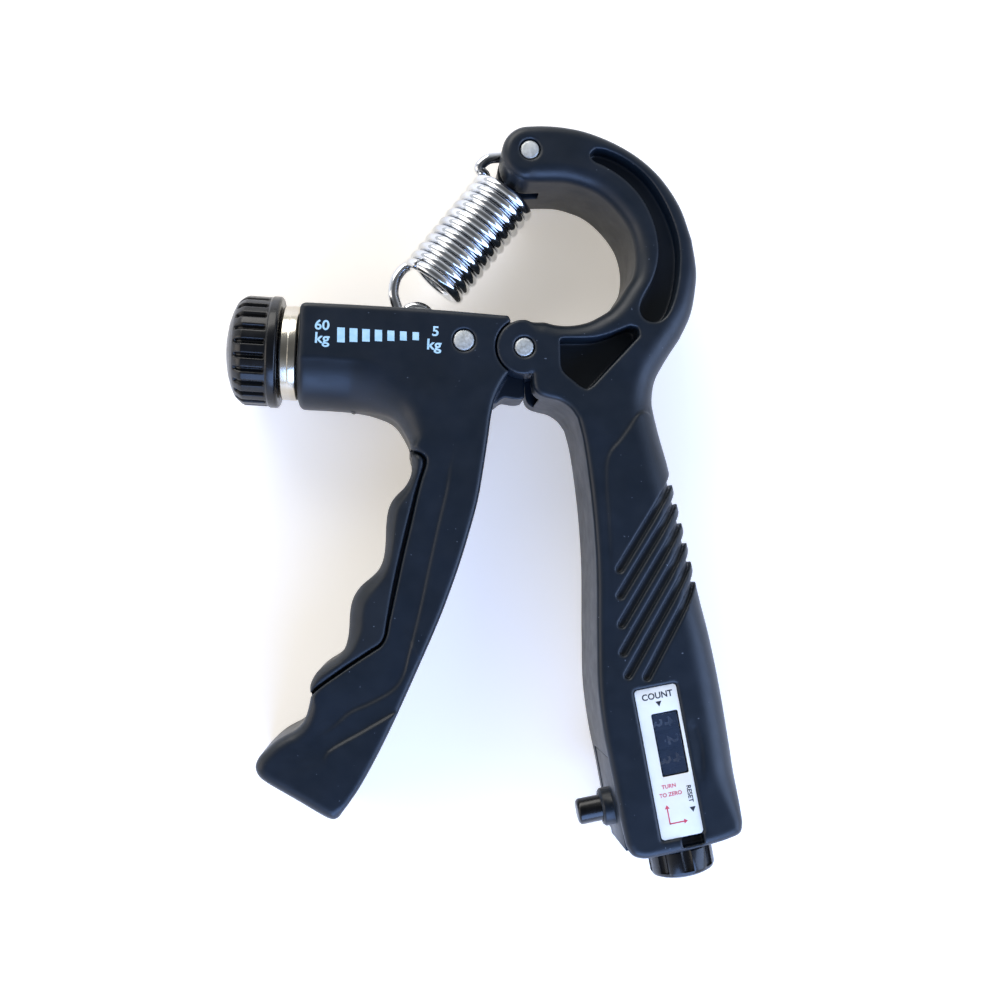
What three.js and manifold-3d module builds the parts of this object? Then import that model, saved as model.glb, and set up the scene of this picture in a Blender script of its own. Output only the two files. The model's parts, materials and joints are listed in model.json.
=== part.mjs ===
// Hand-grip trainer with a force-setting knob and a press counter, lying on its back.
// Millimetres. +X right, +Y towards the spring bow, +Z up out of the face with the print.
// Everything is laid out from the hinge axis (X = 0, Y = 0) at mid thickness (Z = 0);
// the finished group is then shifted to stand on Z = 0 with its outline centred.
import * as THREE from 'three';
import { mergeVertices, toCreasedNormals } from 'three/addons/utils/BufferGeometryUtils.js';
import Module from 'manifold-3d';

const wasm = await Module();
wasm.setup();

// ---- driving dimensions -------------------------------------------------------------
const HALF = 12.5;             // half of the 25 mm thickness
const GAP = 0.3;               // running and fitting clearance
const EAR_R = 5.9;             // hinge ears of the main handle
const TONGUE_Z = 5.5;          // half thickness of the lever's tongue between the ears
const STOP_X = 0.7;            // opening stop above the hinge
const LUG_R = 10.4;            // reach of the lug under the hinge
const PIN_R = 2.1;             // visible rivet ends
const PIN_HALF = 12.2;         // rivets end 0.3 below the faces
const TIP = [1.4, 43.1];       // spring pin in the end of the bow
const BOW_END = [1.4, 42.6];   // rounding of the bow's free end
const BOW_END_R = 6;
const WIRE_R = 1.2;           // spring wire 2.5 mm
const COIL_R = 6.5;            // mean radius, 15.5 mm outside
const COILS = 11;
const LOOP_LOW = 3.15;         // spring loop on the hook pin
const LOOP_HIGH = 3.6;         // spring loop on the spring pin
const HOOK_SLOT = 1.7;         // half width of the slots the loops sit in

const BARREL_FACE = [-48.1, 0.1];   // screw axis at the barrel's open end
const BARREL_TILT = -3.1;      // degrees, the barrel droops towards the hinge
const BARREL_R = 12.3;         // round underside
const BARREL_TOP = 9.2;        // flat top, above the screw axis
const BORE_R = 8;
const BORE_END = 32.4;         // depth of the wide bore
const HOOK_S = 24.7;           // hook pin along the barrel at the weakest setting
const HOOK_H = 8.6;            // hook pin above the screw
const RET_PIN = [-12.9, 1.3];  // retaining pin of the screw
const SCREW_R = 3;
const SCREW_PITCH = 1.5;
const KNOB_R = 12.2;
const COLLAR_R = 10.4;

const COUNT_AT = [30.3, -88];  // centre of the counter label
const COUNT_TILT = 10.3;       // degrees, square to the lower end of the main handle
const SHAFT_U = 0.5;           // number-wheel shaft, across
const SHAFT_Z = 2.6;           // and up
const WHEEL_R = 5.5;
const WHEEL_W = 3.6;
const WHEEL_AT = [7.7, 3.7, -0.3];  // hundreds, tens, units along the shaft
const PINION_U = SHAFT_U + 7.3;
const BUTTON_V = -9.1;         // push button along the counter
const BUTTON_R = 2.8;
const BUTTON_TIP = -19.8;
const RESET_R = 7;

// ---- materials ----------------------------------------------------------------------
const paint = (color, roughness, metalness) =>
  new THREE.MeshStandardMaterial({ color, roughness, metalness });
const nylon = paint(0x20262e, 0.48, 0);
const softGrip = paint(0x1b2027, 0.62, 0);
const glossBlack = paint(0x0d0f12, 0.18, 0);
const springSteel = paint(0xc9ccd0, 0.14, 1);
const nickel = paint(0xb9b3a4, 0.24, 1);
const rivetMetal = paint(0xc6cbcd, 0.34, 1);
const zincSteel = paint(0x9aa0a5, 0.38, 1);
const print = paint(0xe9e6dd, 0.5, 0);
const lens = paint(0x10141a, 0.08, 0);
const wheelWhite = paint(0x39424d, 0.5, 0);
const innerWhite = paint(0xb9bcbd, 0.55, 0);

// ---- solids -------------------------------------------------------------------------
function solid(geometry) {
  const bare = new THREE.BufferGeometry();
  bare.setAttribute('position', geometry.attributes.position.clone());
  if (geometry.index) bare.setIndex(geometry.index.clone());
  const merged = mergeVertices(bare, 1e-4);
  const mesh = new wasm.Mesh({
    numProp: 3,
    vertProperties: new Float32Array(merged.attributes.position.array),
    triVerts: new Uint32Array(merged.index.array),
  });
  mesh.merge();
  return new wasm.Manifold(mesh);
}

function add(...list) {
  return list.reduce((sum, next) => sum.add(next));
}

function cut(body, ...tools) {
  return tools.reduce((rest, tool) => rest.subtract(tool), body);
}

function node(name, body, material) {
  const mesh = body.getMesh();
  const geometry = new THREE.BufferGeometry();
  geometry.setAttribute('position', new THREE.BufferAttribute(new Float32Array(mesh.vertProperties), 3));
  geometry.setIndex(new THREE.BufferAttribute(new Uint32Array(mesh.triVerts), 1));
  const part = new THREE.Mesh(toCreasedNormals(geometry, 0.6), material);
  part.name = name;
  return part;
}

// flat outline pushed from z0 to z1 with its rims broken by `bevel`
function slab(shape, z0, z1, bevel = 0, curveSegments = 10) {
  const geometry = new THREE.ExtrudeGeometry(shape, {
    depth: z1 - z0 - 2 * bevel,
    bevelEnabled: bevel > 0,
    bevelThickness: bevel,
    bevelSize: bevel,
    bevelOffset: -bevel,
    bevelSegments: 2,
    curveSegments,
  });
  geometry.translate(0, 0, z0 + bevel);
  return solid(geometry);
}

function polygon(points) {
  return new THREE.Shape(points.map(([x, y]) => new THREE.Vector2(x, y)));
}

function spline(shape, points) {
  shape.splineThru(points.map(([x, y]) => new THREE.Vector2(x, y)));
}

function roundRect(u0, v0, u1, v1, r) {
  const shape = new THREE.Shape();
  shape.moveTo(u0 + r, v0);
  shape.lineTo(u1 - r, v0);
  shape.absarc(u1 - r, v0 + r, r, -Math.PI / 2, 0);
  shape.lineTo(u1, v1 - r);
  shape.absarc(u1 - r, v1 - r, r, 0, Math.PI / 2);
  shape.lineTo(u0 + r, v1);
  shape.absarc(u0 + r, v1 - r, r, Math.PI / 2, Math.PI);
  shape.lineTo(u0, v0 + r);
  shape.absarc(u0 + r, v0 + r, r, Math.PI, 1.5 * Math.PI);
  return shape;
}

function block(x0, y0, z0, x1, y1, z1) {
  const geometry = new THREE.BoxGeometry(x1 - x0, y1 - y0, z1 - z0);
  geometry.translate((x0 + x1) / 2, (y0 + y1) / 2, (z0 + z1) / 2);
  return solid(geometry);
}

// upright round bar through the thickness
function post(x, y, r, z0, z1, segments = 28) {
  const geometry = new THREE.CylinderGeometry(r, r, z1 - z0, segments);
  geometry.rotateX(Math.PI / 2);
  geometry.translate(x, y, (z0 + z1) / 2);
  return solid(geometry);
}

// body turned about the local X axis from [s, radius] pairs that start and end on the axis
function turned(profile, segments = 32) {
  const points = profile.map(([s, r]) => new THREE.Vector2(r, s));
  const geometry = new THREE.LatheGeometry(points, segments);
  geometry.rotateZ(-Math.PI / 2);
  return orient(geometry);
}

// a lathe is built either way round; turn it inside out when its volume is negative
function orient(geometry) {
  const plain = geometry.index ? geometry.toNonIndexed() : geometry;
  const p = plain.attributes.position;
  let volume = 0;
  const a = new THREE.Vector3();
  const b = new THREE.Vector3();
  const c = new THREE.Vector3();
  for (let i = 0; i < p.count; i += 3) {
    a.fromBufferAttribute(p, i);
    b.fromBufferAttribute(p, i + 1);
    c.fromBufferAttribute(p, i + 2);
    volume += a.dot(b.cross(c));
  }
  if (volume < 0) {
    for (let i = 0; i < p.count; i += 3) {
      a.fromBufferAttribute(p, i);
      b.fromBufferAttribute(p, i + 1);
      p.setXYZ(i, b.x, b.y, b.z);
      p.setXYZ(i + 1, a.x, a.y, a.z);
    }
  }
  return solid(plain);
}

// places of the three sub-assemblies
const inBarrel = (body) =>
  body.rotate([0, 0, BARREL_TILT]).translate([BARREL_FACE[0], BARREL_FACE[1], 0]);
const inCounter = (body) =>
  body.rotate([0, 0, COUNT_TILT]).translate([COUNT_AT[0], COUNT_AT[1], 0]);
// a body turned about local X, stood along the counter shaft (local Y)
const alongShaft = (body) => body.rotate([0, 0, 90]).translate([SHAFT_U, 0, SHAFT_Z]);

function barrelPoint(s, h) {
  const a = THREE.MathUtils.degToRad(BARREL_TILT);
  const x = BARREL_FACE[0] + s * Math.cos(a) - h * Math.sin(a);
  const y = BARREL_FACE[1] + s * Math.sin(a) + h * Math.cos(a);
  return [x, y];
}

// ---- main handle --------------------------------------------------------------------
function mainOutline() {
  const s = new THREE.Shape();
  s.moveTo(BOW_END[0], BOW_END[1] + BOW_END_R);
  spline(s, [[8, 48.6], [16.9, 46.6], [25.6, 42], [32.6, 34.6], [36.9, 24.4], [38.1, 16],
    [37, 8.4], [33.1, 0.6], [29.3, -5.8], [28.3, -10.6], [29.2, -15.8], [31.4, -24.2]]);
  spline(s, [[36.2, -43.8], [40.3, -61.6], [43.5, -78.3], [46.4, -98.6]]);
  s.quadraticCurveTo(47.1, -103.9, 43.5, -104.6);
  s.lineTo(26, -108.2);
  s.quadraticCurveTo(22.1, -108.8, 21.4, -105.6);
  spline(s, [[19.7, -98], [17.9, -89], [16.3, -79.8], [15.4, -69], [15.3, -52], [14.8, -37],
    [13.7, -27.5], [12.5, -19.4]]);
  s.quadraticCurveTo(11.3, -12.7, 5.2, -10.9);
  s.quadraticCurveTo(1.9, -9.9, 1.9, -7.4);
  s.lineTo(1.9, -Math.sqrt(EAR_R ** 2 - 1.9 ** 2));
  s.absarc(0, 0, EAR_R, Math.atan2(-5.586, 1.9), Math.atan2(5.7, 1.5), true);
  spline(s, [[3.6, 6.2], [9.3, 5.2], [14.5, 6.1], [19.4, 9.3], [23.2, 14.2], [24.7, 20],
    [23.6, 26.1], [20.3, 31], [15.5, 34.8], [9, 36.8], [BOW_END[0], BOW_END[1] - BOW_END_R]]);
  s.absarc(...BOW_END, BOW_END_R, -Math.PI / 2, -1.5 * Math.PI, true);
  return s;
}

function bowPocket() {
  const s = new THREE.Shape();
  s.moveTo(15.3, 40.3);
  spline(s, [[20.9, 36.7], [26.2, 30.6], [28.5, 22.5], [27.9, 15.9], [25.3, 10.2]]);
  spline(s, [[25.6, 7.4], [28.7, 5.7], [32, 8.8]]);
  spline(s, [[34, 15], [33.6, 24], [30.2, 32.4], [24.6, 39], [18, 43.3]]);
  s.quadraticCurveTo(14.8, 43.6, 15.3, 40.3);
  return s;
}

function trianglePocket() {
  const s = new THREE.Shape();
  s.moveTo(8.9, 2);
  s.quadraticCurveTo(16, 2.2, 22.3, 4.9);
  s.quadraticCurveTo(24.3, 5.2, 25, 2.6);
  s.lineTo(14.9, -8);
  s.quadraticCurveTo(13.3, -9.4, 11.6, -8);
  s.lineTo(8.5, -5.2);
  s.quadraticCurveTo(7.8, -4.6, 7.8, -3.4);
  s.lineTo(7.8, 1);
  s.quadraticCurveTo(7.8, 1.9, 8.9, 2);
  return s;
}

// room for the lever's tongue and its lug, and the face the tongue stops against
function hingeSlot() {
  const depth = TONGUE_Z + GAP;
  const room = post(0, 0, 5.6, -depth, depth, 36);
  const left = block(-12, -12, -depth, STOP_X, 12, depth);
  const sweep = new THREE.Shape();
  sweep.moveTo(0, 0);
  sweep.absarc(0, 0, LUG_R + 0.5, -Math.PI / 2 - 0.3, -0.7, false);
  sweep.lineTo(0, 0);
  return add(room, left, slab(sweep, -depth, depth));
}

function grooves() {
  const low = [[20.2, -47.4], [20.3, -53], [20.5, -59.1], [20.8, -65], [21.8, -69.8], [25.8, -70.2]];
  const high = [[31.7, -29], [32.7, -33.1], [33.8, -37.2], [34.8, -41.4], [35.8, -45.6], [36.9, -49.7]];
  const list = [];
  low.forEach((from, i) => {
    const dx = high[i][0] - from[0];
    const dy = high[i][1] - from[1];
    const run = Math.hypot(dx, dy) + 3;
    for (const z of [HALF - 1.2, -HALF - 1]) {
      const groove = slab(roundRect(-0.8, -0.8, run, 0.8, 0.75), z, z + 2.2, 0, 3);
      list.push(groove.rotate([0, 0, Math.atan2(dy, dx) * 180 / Math.PI]).translate([...from, 0]));
    }
  });
  return list;
}

function counterRoom() {
  const room = block(-9.6, -16.6, -5, 10.6, 12.8, 9.9);
  const door = block(-16, -17.3, -8.2, -9.5, 2.9, 10.2);
  const ledge = block(-9.7, -16.2, -5, -9, 1.8, 9.9);
  const seat = slab(roundRect(-4.85, -16.2, 4.85, 16.2, 0.9), HALF - 0.8, HALF + 1, 0, 3);
  const window = slab(roundRect(-1.9, -3, 3.9, 10.4, 0.4), 9, HALF, 0, 3);
  const latch = block(-0.4, -18.2, HALF - 2.4, 4.4, -16.1, HALF + 1);
  const bearing = alongShaft(turned([[-19.5, 0], [-19.5, 1.6], [-16, 1.6], [-16, 0]], 20));
  return [room, door, ledge, seat, window, latch, bearing].map(inCounter);
}

function mainHandle() {
  const body = slab(mainOutline(), -HALF, HALF, 1.1, 4);
  const pockets = [];
  for (const side of [1, -1]) {
    const z0 = side > 0 ? HALF - 4.5 : -HALF - 1;
    pockets.push(slab(bowPocket(), z0, z0 + 5.5, 0, 4));
    const t0 = side > 0 ? HALF - 6.5 : -HALF - 1;
    pockets.push(slab(trianglePocket(), t0, t0 + 7.5, 0, 4));
  }
  const hookRoom = add(
    post(TIP[0], TIP[1], BOW_END_R, -HOOK_SLOT, HOOK_SLOT, 28),
    block(-8, 34, -HOOK_SLOT, 3.4, 50, HOOK_SLOT),
  );
  const pinHoles = [
    post(TIP[0], TIP[1], PIN_R + 0.2, -20, 20),
    post(0, 0, PIN_R + 0.2, -20, 20),
  ];
  return cut(body, hingeSlot(), ...pockets, hookRoom, ...pinHoles, ...grooves(), ...counterRoom());
}

// ---- counter ------------------------------------------------------------------------
function sideCover() {
  const plate = block(-12.1, -17, -7.9, -9.8, 2.6, 9.9);
  const inner = block(-9.9, -15.9, -4.7, -9.3, 1.5, 9.6);
  const collar = turned([[-14.6, 0], [-14.6, 3.6], [-14.1, 4.1], [-11.5, 4.1], [-11.5, 0]], 28)
    .translate([0, BUTTON_V, 0]);
  const bore = turned([[-16, 0], [-16, BUTTON_R + 0.25], [-8, BUTTON_R + 0.25], [-8, 0]], 28)
    .translate([0, BUTTON_V, 0]);
  return inCounter(cut(add(plate, inner, collar), bore));
}

function countButton() {
  const plunger = turned([[BUTTON_TIP, 0], [BUTTON_TIP, 2.3], [BUTTON_TIP + 0.5, BUTTON_R],
    [-9, BUTTON_R], [-9, 3.3], [-8.3, 3.3], [-8.3, 0]], 28).translate([0, BUTTON_V, 0]);
  const finger = block(-8.5, BUTTON_V - 0.9, -1.8, 0.4, BUTTON_V + 0.9, -0.95);
  return inCounter(add(plunger, finger));
}

function buttonSpring() {
  const turns = 4;
  const points = [];
  for (let i = 0; i <= turns * 10; i += 1) {
    const t = i / (turns * 10);
    const a = 2 * Math.PI * turns * t;
    points.push(new THREE.Vector3(-7.9 + 4.6 * t, BUTTON_V + 2.3 * Math.cos(a), 2.3 * Math.sin(a)));
  }
  return points;
}

function counterCase() {
  const tray = block(-7.2, -13.4, -4.6, 10.2, 12.4, 9.4);
  const hollow = block(-6.1, -12.6, -3.6, 9.5, 11.4, 12);
  const door = turned([[-9, 0], [-9, 4], [-5.5, 4], [-5.5, 0]], 28).translate([0, BUTTON_V, 0]);
  const seat = cut(block(-3, -12.8, -3.8, -2.4, -6, -1.1),
    block(-4, BUTTON_V - 1.3, -2.2, 0, BUTTON_V + 1.3, 0));
  const bearings = alongShaft(turned([[-14, 0], [-14, 1.5], [14, 1.5], [14, 0]], 20));
  const pinionBearings = turned([[-14, 0], [-14, 0.8], [14, 0.8], [14, 0]], 12)
    .rotate([0, 0, 90]).translate([PINION_U, 0, SHAFT_Z]);
  return inCounter(cut(add(cut(tray, hollow, door), seat), bearings, pinionBearings));
}

function toothed(count, outer, inner, v0, v1) {
  const s = new THREE.Shape();
  for (let i = 0; i < count; i += 1) {
    const a = (2 * Math.PI * i) / count;
    const b = (2 * Math.PI * (i + 0.55)) / count;
    const p = [outer * Math.cos(a), outer * Math.sin(a)];
    const q = [inner * Math.cos(b), inner * Math.sin(b)];
    if (i === 0) s.moveTo(...p);
    else s.lineTo(...p);
    s.lineTo(...q);
  }
  s.closePath();
  return slab(s, v0, v1).rotate([0, 90, 0]);
}

function numberWheel(at, withRatchet) {
  const rim = 0.3;
  const half = WHEEL_W / 2;
  let body = turned([[at - half, 0], [at - half, WHEEL_R - rim], [at - half + rim, WHEEL_R],
    [at + half - rim, WHEEL_R], [at + half, WHEEL_R - rim], [at + half, 0]], 30);
  if (withRatchet) {
    body = add(body, turned([[-10.4, 0], [-10.4, 2.3], [at, 2.3], [at, 0]], 24),
      toothed(10, 3.3, 2.6, -10.4, -7.8));
  }
  const bore = turned([[-20, 0], [-20, 1.5], [20, 1.5], [20, 0]], 20);
  return inCounter(alongShaft(cut(body, bore)));
}

function pinion(at) {
  const body = cut(toothed(8, 1.55, 1.15, at - 1, at + 1),
    turned([[-20, 0], [-20, 0.75], [20, 0.75], [20, 0]], 12));
  return inCounter(body.rotate([0, 0, 90]).translate([PINION_U, 0, SHAFT_Z]));
}

function pinionShaft() {
  const bar = turned([[-12.2, 0], [-12.2, 0.6], [12.2, 0.6], [12.2, 0]], 12);
  return inCounter(bar.rotate([0, 0, 90]).translate([PINION_U, 0, SHAFT_Z]));
}

function counterShaft() {
  return inCounter(alongShaft(turned([[-23.5, 0], [-23.5, 1.2], [12.2, 1.2], [12.2, 0]], 20)));
}

function resetKnob() {
  const body = turned([[-25.3, 0], [-25.3, RESET_R - 1.4], [-24.8, RESET_R - 0.4],
    [-24, RESET_R], [-19.9, RESET_R], [-19.3, RESET_R - 0.6], [-19.3, 0]], 40);
  const flutes = [];
  for (let i = 0; i < 8; i += 1) {
    const a = (2 * Math.PI * i) / 8;
    const bar = turned([[-24.1, 0], [-24.1, 1.3], [-18, 1.3], [-18, 0]], 12);
    flutes.push(bar.translate([0, (RESET_R + 0.5) * Math.cos(a), (RESET_R + 0.5) * Math.sin(a)]));
  }
  const bore = turned([[-23.9, 0], [-23.9, 1.5], [-10, 1.5], [-10, 0]], 20);
  return inCounter(alongShaft(cut(body, ...flutes, bore)));
}

function counterLabel() {
  const outline = roundRect(-4.55, -15.9, 4.55, 15.9, 0.8);
  outline.holes.push(roundRect(-1.9, -3, 3.9, 10.4, 0.4));
  return inCounter(slab(outline, HALF - 0.8, HALF - 0.45, 0, 3));
}

function counterWindow() {
  return inCounter(slab(roundRect(-1.65, -2.75, 3.65, 10.15, 0.3), HALF - 1.7, HALF - 0.6, 0.15, 3));
}

// ---- lever handle -------------------------------------------------------------------
function leverOutline() {
  const s = new THREE.Shape();
  s.moveTo(-31, -6);
  s.lineTo(-31, -13.4);
  s.quadraticCurveTo(-27.4, -14.6, -25.6, -18);
  s.lineTo(-24.2, -22);
  s.quadraticCurveTo(-20.3, -22.6, -20.9, -25);
  s.lineTo(-29, -61.4);
  s.quadraticCurveTo(-29.4, -63.1, -31.1, -64.2);
  s.lineTo(-44.6, -73.8);
  spline(s, [[-46, -78.9], [-50.2, -81.8], [-54.6, -85.2], [-56, -88.3], [-53.9, -91.2],
    [-46.8, -95.5], [-41.4, -98.8]]);
  s.quadraticCurveTo(-39.9, -99.6, -38.6, -98.1);
  spline(s, [[-34.4, -92.2], [-26.2, -76.3], [-20, -62.4], [-13.7, -46], [-9.9, -32.6],
    [-7.8, -20], [-6.8, -13.4]]);
  s.quadraticCurveTo(-6.1, -8.2, -3.4, -6);
  s.lineTo(-0.8, 0);
  s.lineTo(-0.8, 6.6);
  s.lineTo(-31, 8.3);
  return s;
}

function tongue() {
  const s = new THREE.Shape();
  s.moveTo(-12, -12.2);
  s.lineTo(-5.4, -11.2);
  s.quadraticCurveTo(-4.6, -10.4, -3.6, -9.9);
  s.lineTo(-1.1, -LUG_R + 0.1);
  s.lineTo(0.7, -LUG_R + 0.3);
  s.lineTo(0.7, -5);
  s.absarc(0, 0, 5.2, Math.atan2(-5.15, 0.7), Math.atan2(5.1, 1), false);
  s.lineTo(STOP_X - 0.35, 5);
  s.lineTo(STOP_X - 0.35, 6.5);
  s.lineTo(-12, 7.6);
  return slab(s, -TONGUE_Z, TONGUE_Z, 0, 6);
}

// rib that carries the soft grip
function gripRib(extra) {
  const s = polygon([[-21.5, -27], [-26.2 - extra, -33 + extra], [-32.6 - extra, -62],
    [-41.5 - extra, -69.5 + extra], [-42.5, -72.4], [-30, -64.4]]);
  return slab(s, -4 - extra, 4 + extra);
}

function leverHandle() {
  const shell = slab(leverOutline(), -HALF, HALF, 1.4, 4);
  const round = turned([[0, 0], [0, BARREL_R - 1], [1, BARREL_R], [34, BARREL_R],
    [39.2, 9.6], [39.2, 0]], 48);
  const top = block(0.4, 0, 0.6 - BARREL_R, 38, BARREL_TOP, BARREL_R - 0.6);
  const above = block(-1, BARREL_TOP, -20, 60, 20, 20);
  const barrel = inBarrel(cut(add(round, top), above));
  const earRoom = [];
  for (const side of [1, -1]) {
    const z0 = side > 0 ? TONGUE_Z : -HALF - 1;
    const z1 = side > 0 ? HALF + 1 : -TONGUE_Z;
    earRoom.push(post(0, 0, EAR_R + 0.4, z0, z1, 40));
    earRoom.push(block(0, -20, z0, 12, 20, z1));
  }
  const body = add(shell, barrel);
  const tools = [
    inBarrel(turned([[-1, 0], [-1, BORE_R], [BORE_END, BORE_R], [BORE_END, 0]], 36)),
    inBarrel(turned([[BORE_END - 1, 0], [BORE_END - 1, SCREW_R + 0.35], [38.2, SCREW_R + 0.35],
      [38.2, 0]], 24)),
    inBarrel(block(4.8, 0, -4.4, 29.6, 20, 4.4)),
    post(RET_PIN[0], RET_PIN[1], 1.9, -20, 20),
    post(RET_PIN[0], RET_PIN[1], 2.5, 5.4, 20),
    post(RET_PIN[0], RET_PIN[1], 2.5, -20, -5.4),
  ];
  const trimmed = cut(body, ...earRoom);
  const joined = add(trimmed, tongue(), gripRib(0));
  return cut(joined, ...tools, post(0, 0, PIN_R + 0.2, -20, 20));
}

// finger hollows on the outer side, straight fit against the lever
function fingerGrip() {
  const s = new THREE.Shape();
  s.moveTo(-24.1, -22.6);
  s.quadraticCurveTo(-20.8, -23, -21.4, -25.2);
  s.lineTo(-29.4, -61.2);
  s.quadraticCurveTo(-29.8, -62.8, -31.4, -63.9);
  s.lineTo(-44.8, -73.4);
  spline(s, [[-44.6, -70.6], [-42.9, -68], [-39.6, -65.9], [-37.6, -63.6], [-37, -59.8],
    [-36.7, -55.2], [-34.8, -50.9], [-31.6, -48.2], [-29.8, -44.9], [-29.4, -39],
    [-28.7, -34.4], [-26.2, -30.8], [-24.2, -27.8], [-23.8, -25]]);
  return cut(slab(s, -HALF + 0.2, HALF - 0.2, 0.3, 3), gripRib(GAP));
}

// ---- force setting ------------------------------------------------------------------
function steelCollar() {
  const ring = turned([[-4, 0], [-4, COLLAR_R - 0.4], [-3.6, COLLAR_R], [-0.6, COLLAR_R],
    [-0.3, COLLAR_R - 0.3], [-0.3, BORE_R - 0.3], [3.2, BORE_R - 0.3], [3.2, 0]], 40);
  const bore = turned([[-8, 0], [-8, SCREW_R + 0.5], [8, SCREW_R + 0.5], [8, 0]], 24);
  return inBarrel(cut(ring, bore));
}

function adjustKnob() {
  const body = turned([[-4.3, 0], [-4.3, KNOB_R - 0.5], [-4.8, KNOB_R], [-6.3, KNOB_R],
    [-6.6, KNOB_R - 0.3], [-11.8, KNOB_R - 0.3], [-13.8, KNOB_R - 1.6], [-15.2, KNOB_R - 4.4],
    [-16, KNOB_R - 8.4], [-16.2, 0]], 48);
  const ribs = [];
  for (let i = 0; i < 24; i += 1) {
    const a = (2 * Math.PI * i) / 24;
    const bar = block(-12.9, -0.6, KNOB_R - 1.1, -6.8, 0.6, KNOB_R + 2);
    ribs.push(bar.rotate([a * 180 / Math.PI, 0, 0]));
  }
  const bore = turned([[-10.4, 0], [-10.4, SCREW_R + 0.25], [0, SCREW_R + 0.25], [0, 0]], 24);
  return inBarrel(cut(body, ...ribs, bore));
}

// the thread is drawn as rings of the right pitch
function leadScrew() {
  const pinAt = pinAlong();
  const profile = [[-10, 0], [-10, SCREW_R], [4, SCREW_R]];
  for (let s = 4; s < 31; s += 2 * SCREW_PITCH) {
    profile.push([s + 0.9, SCREW_R - 0.55]);
    profile.push([s + 2 * SCREW_PITCH, SCREW_R]);
  }
  profile.push([pinAt - 2.3, SCREW_R - 0.2], [pinAt - 2.1, 1.15], [pinAt + 2.1, 1.15]);
  profile.push([pinAt + 2.1, SCREW_R - 0.3], [37.8, SCREW_R - 0.3], [37.8, 0]);
  return inBarrel(turned(profile, 20));
}

function pinAlong() {
  const a = THREE.MathUtils.degToRad(BARREL_TILT);
  const dx = RET_PIN[0] - BARREL_FACE[0];
  const dy = RET_PIN[1] - BARREL_FACE[1];
  return dx * Math.cos(a) + dy * Math.sin(a);
}

function retainingPin() {
  const pin = turned([[-PIN_HALF, 0], [-PIN_HALF, 2.1], [-11.9, 2.3], [-5.6, 2.3], [-5.6, 1.7],
    [5.6, 1.7], [5.6, 2.3], [11.9, 2.3], [PIN_HALF, 2.1], [PIN_HALF, 0]], 28);
  return pin.rotate([0, 90, 0]).translate([...RET_PIN, 0]);
}

function sliderNut() {
  const barrel = turned([[HOOK_S - 6, 0], [HOOK_S - 6, BORE_R - 0.4], [HOOK_S + 6, BORE_R - 0.4],
    [HOOK_S + 6, 0]], 36);
  const lug = slab(roundRect(HOOK_S - 3.4, 4, HOOK_S + 3.4, HOOK_H + 2.7, 2.6), -4.1, 4.1, 0, 6);
  const slot = block(HOOK_S - 5.2, 4.1, -HOOK_SLOT, HOOK_S + 5.2, 20, HOOK_SLOT);
  const bore = turned([[0, 0], [0, SCREW_R + 0.3], [50, SCREW_R + 0.3], [50, 0]], 24);
  const pinHole = post(HOOK_S, HOOK_H, 1.95, -6, 6, 20);
  return inBarrel(cut(add(barrel, lug), slot, bore, pinHole));
}

function hookPin() {
  return inBarrel(post(HOOK_S, HOOK_H, 1.75, -4, 4, 20));
}

// ---- spring -------------------------------------------------------------------------
function springPath() {
  const low = new THREE.Vector3(...barrelPoint(HOOK_S, HOOK_H), 0);
  const high = new THREE.Vector3(...TIP, 0);
  const start = new THREE.Vector3(-19.5, 16.3, 0);
  const end = new THREE.Vector3(-2.6, 37.3, 0);
  const axis = end.clone().sub(start).normalize();
  const side = new THREE.Vector3(-axis.y, axis.x, 0);
  const up = new THREE.Vector3(0, 0, 1);
  const points = [];
  // lower loop: once round the hook pin, leaving it on the outer side
  for (let a = 20; a >= -210; a -= 23) {
    const t = THREE.MathUtils.degToRad(a);
    points.push(low.clone().add(new THREE.Vector3(LOOP_LOW * Math.cos(t), LOOP_LOW * Math.sin(t), 0)));
  }
  const total = COILS * 14;
  const length = end.distanceTo(start);
  for (let i = 0; i <= total; i += 1) {
    const t = i / total;
    const a = Math.PI * 2 * COILS * t;
    const p = start.clone().addScaledVector(axis, length * t);
    p.addScaledVector(side, COIL_R * Math.cos(a)).addScaledVector(up, COIL_R * Math.sin(a));
    points.push(p);
  }
  // upper loop round the spring pin
  for (let a = 150; a >= -80; a -= 23) {
    const t = THREE.MathUtils.degToRad(a);
    points.push(high.clone().add(new THREE.Vector3(LOOP_HIGH * Math.cos(t), LOOP_HIGH * Math.sin(t), 0)));
  }
  return points;
}

function wire(points, radius, steps, sides) {
  const ring = new THREE.Shape();
  ring.absarc(0, 0, radius, 0, 2 * Math.PI);
  const path = new THREE.CatmullRomCurve3(points, false, 'centripetal');
  return solid(new THREE.ExtrudeGeometry(ring, {
    steps,
    curveSegments: sides,
    bevelEnabled: false,
    extrudePath: path,
  }));
}

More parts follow.
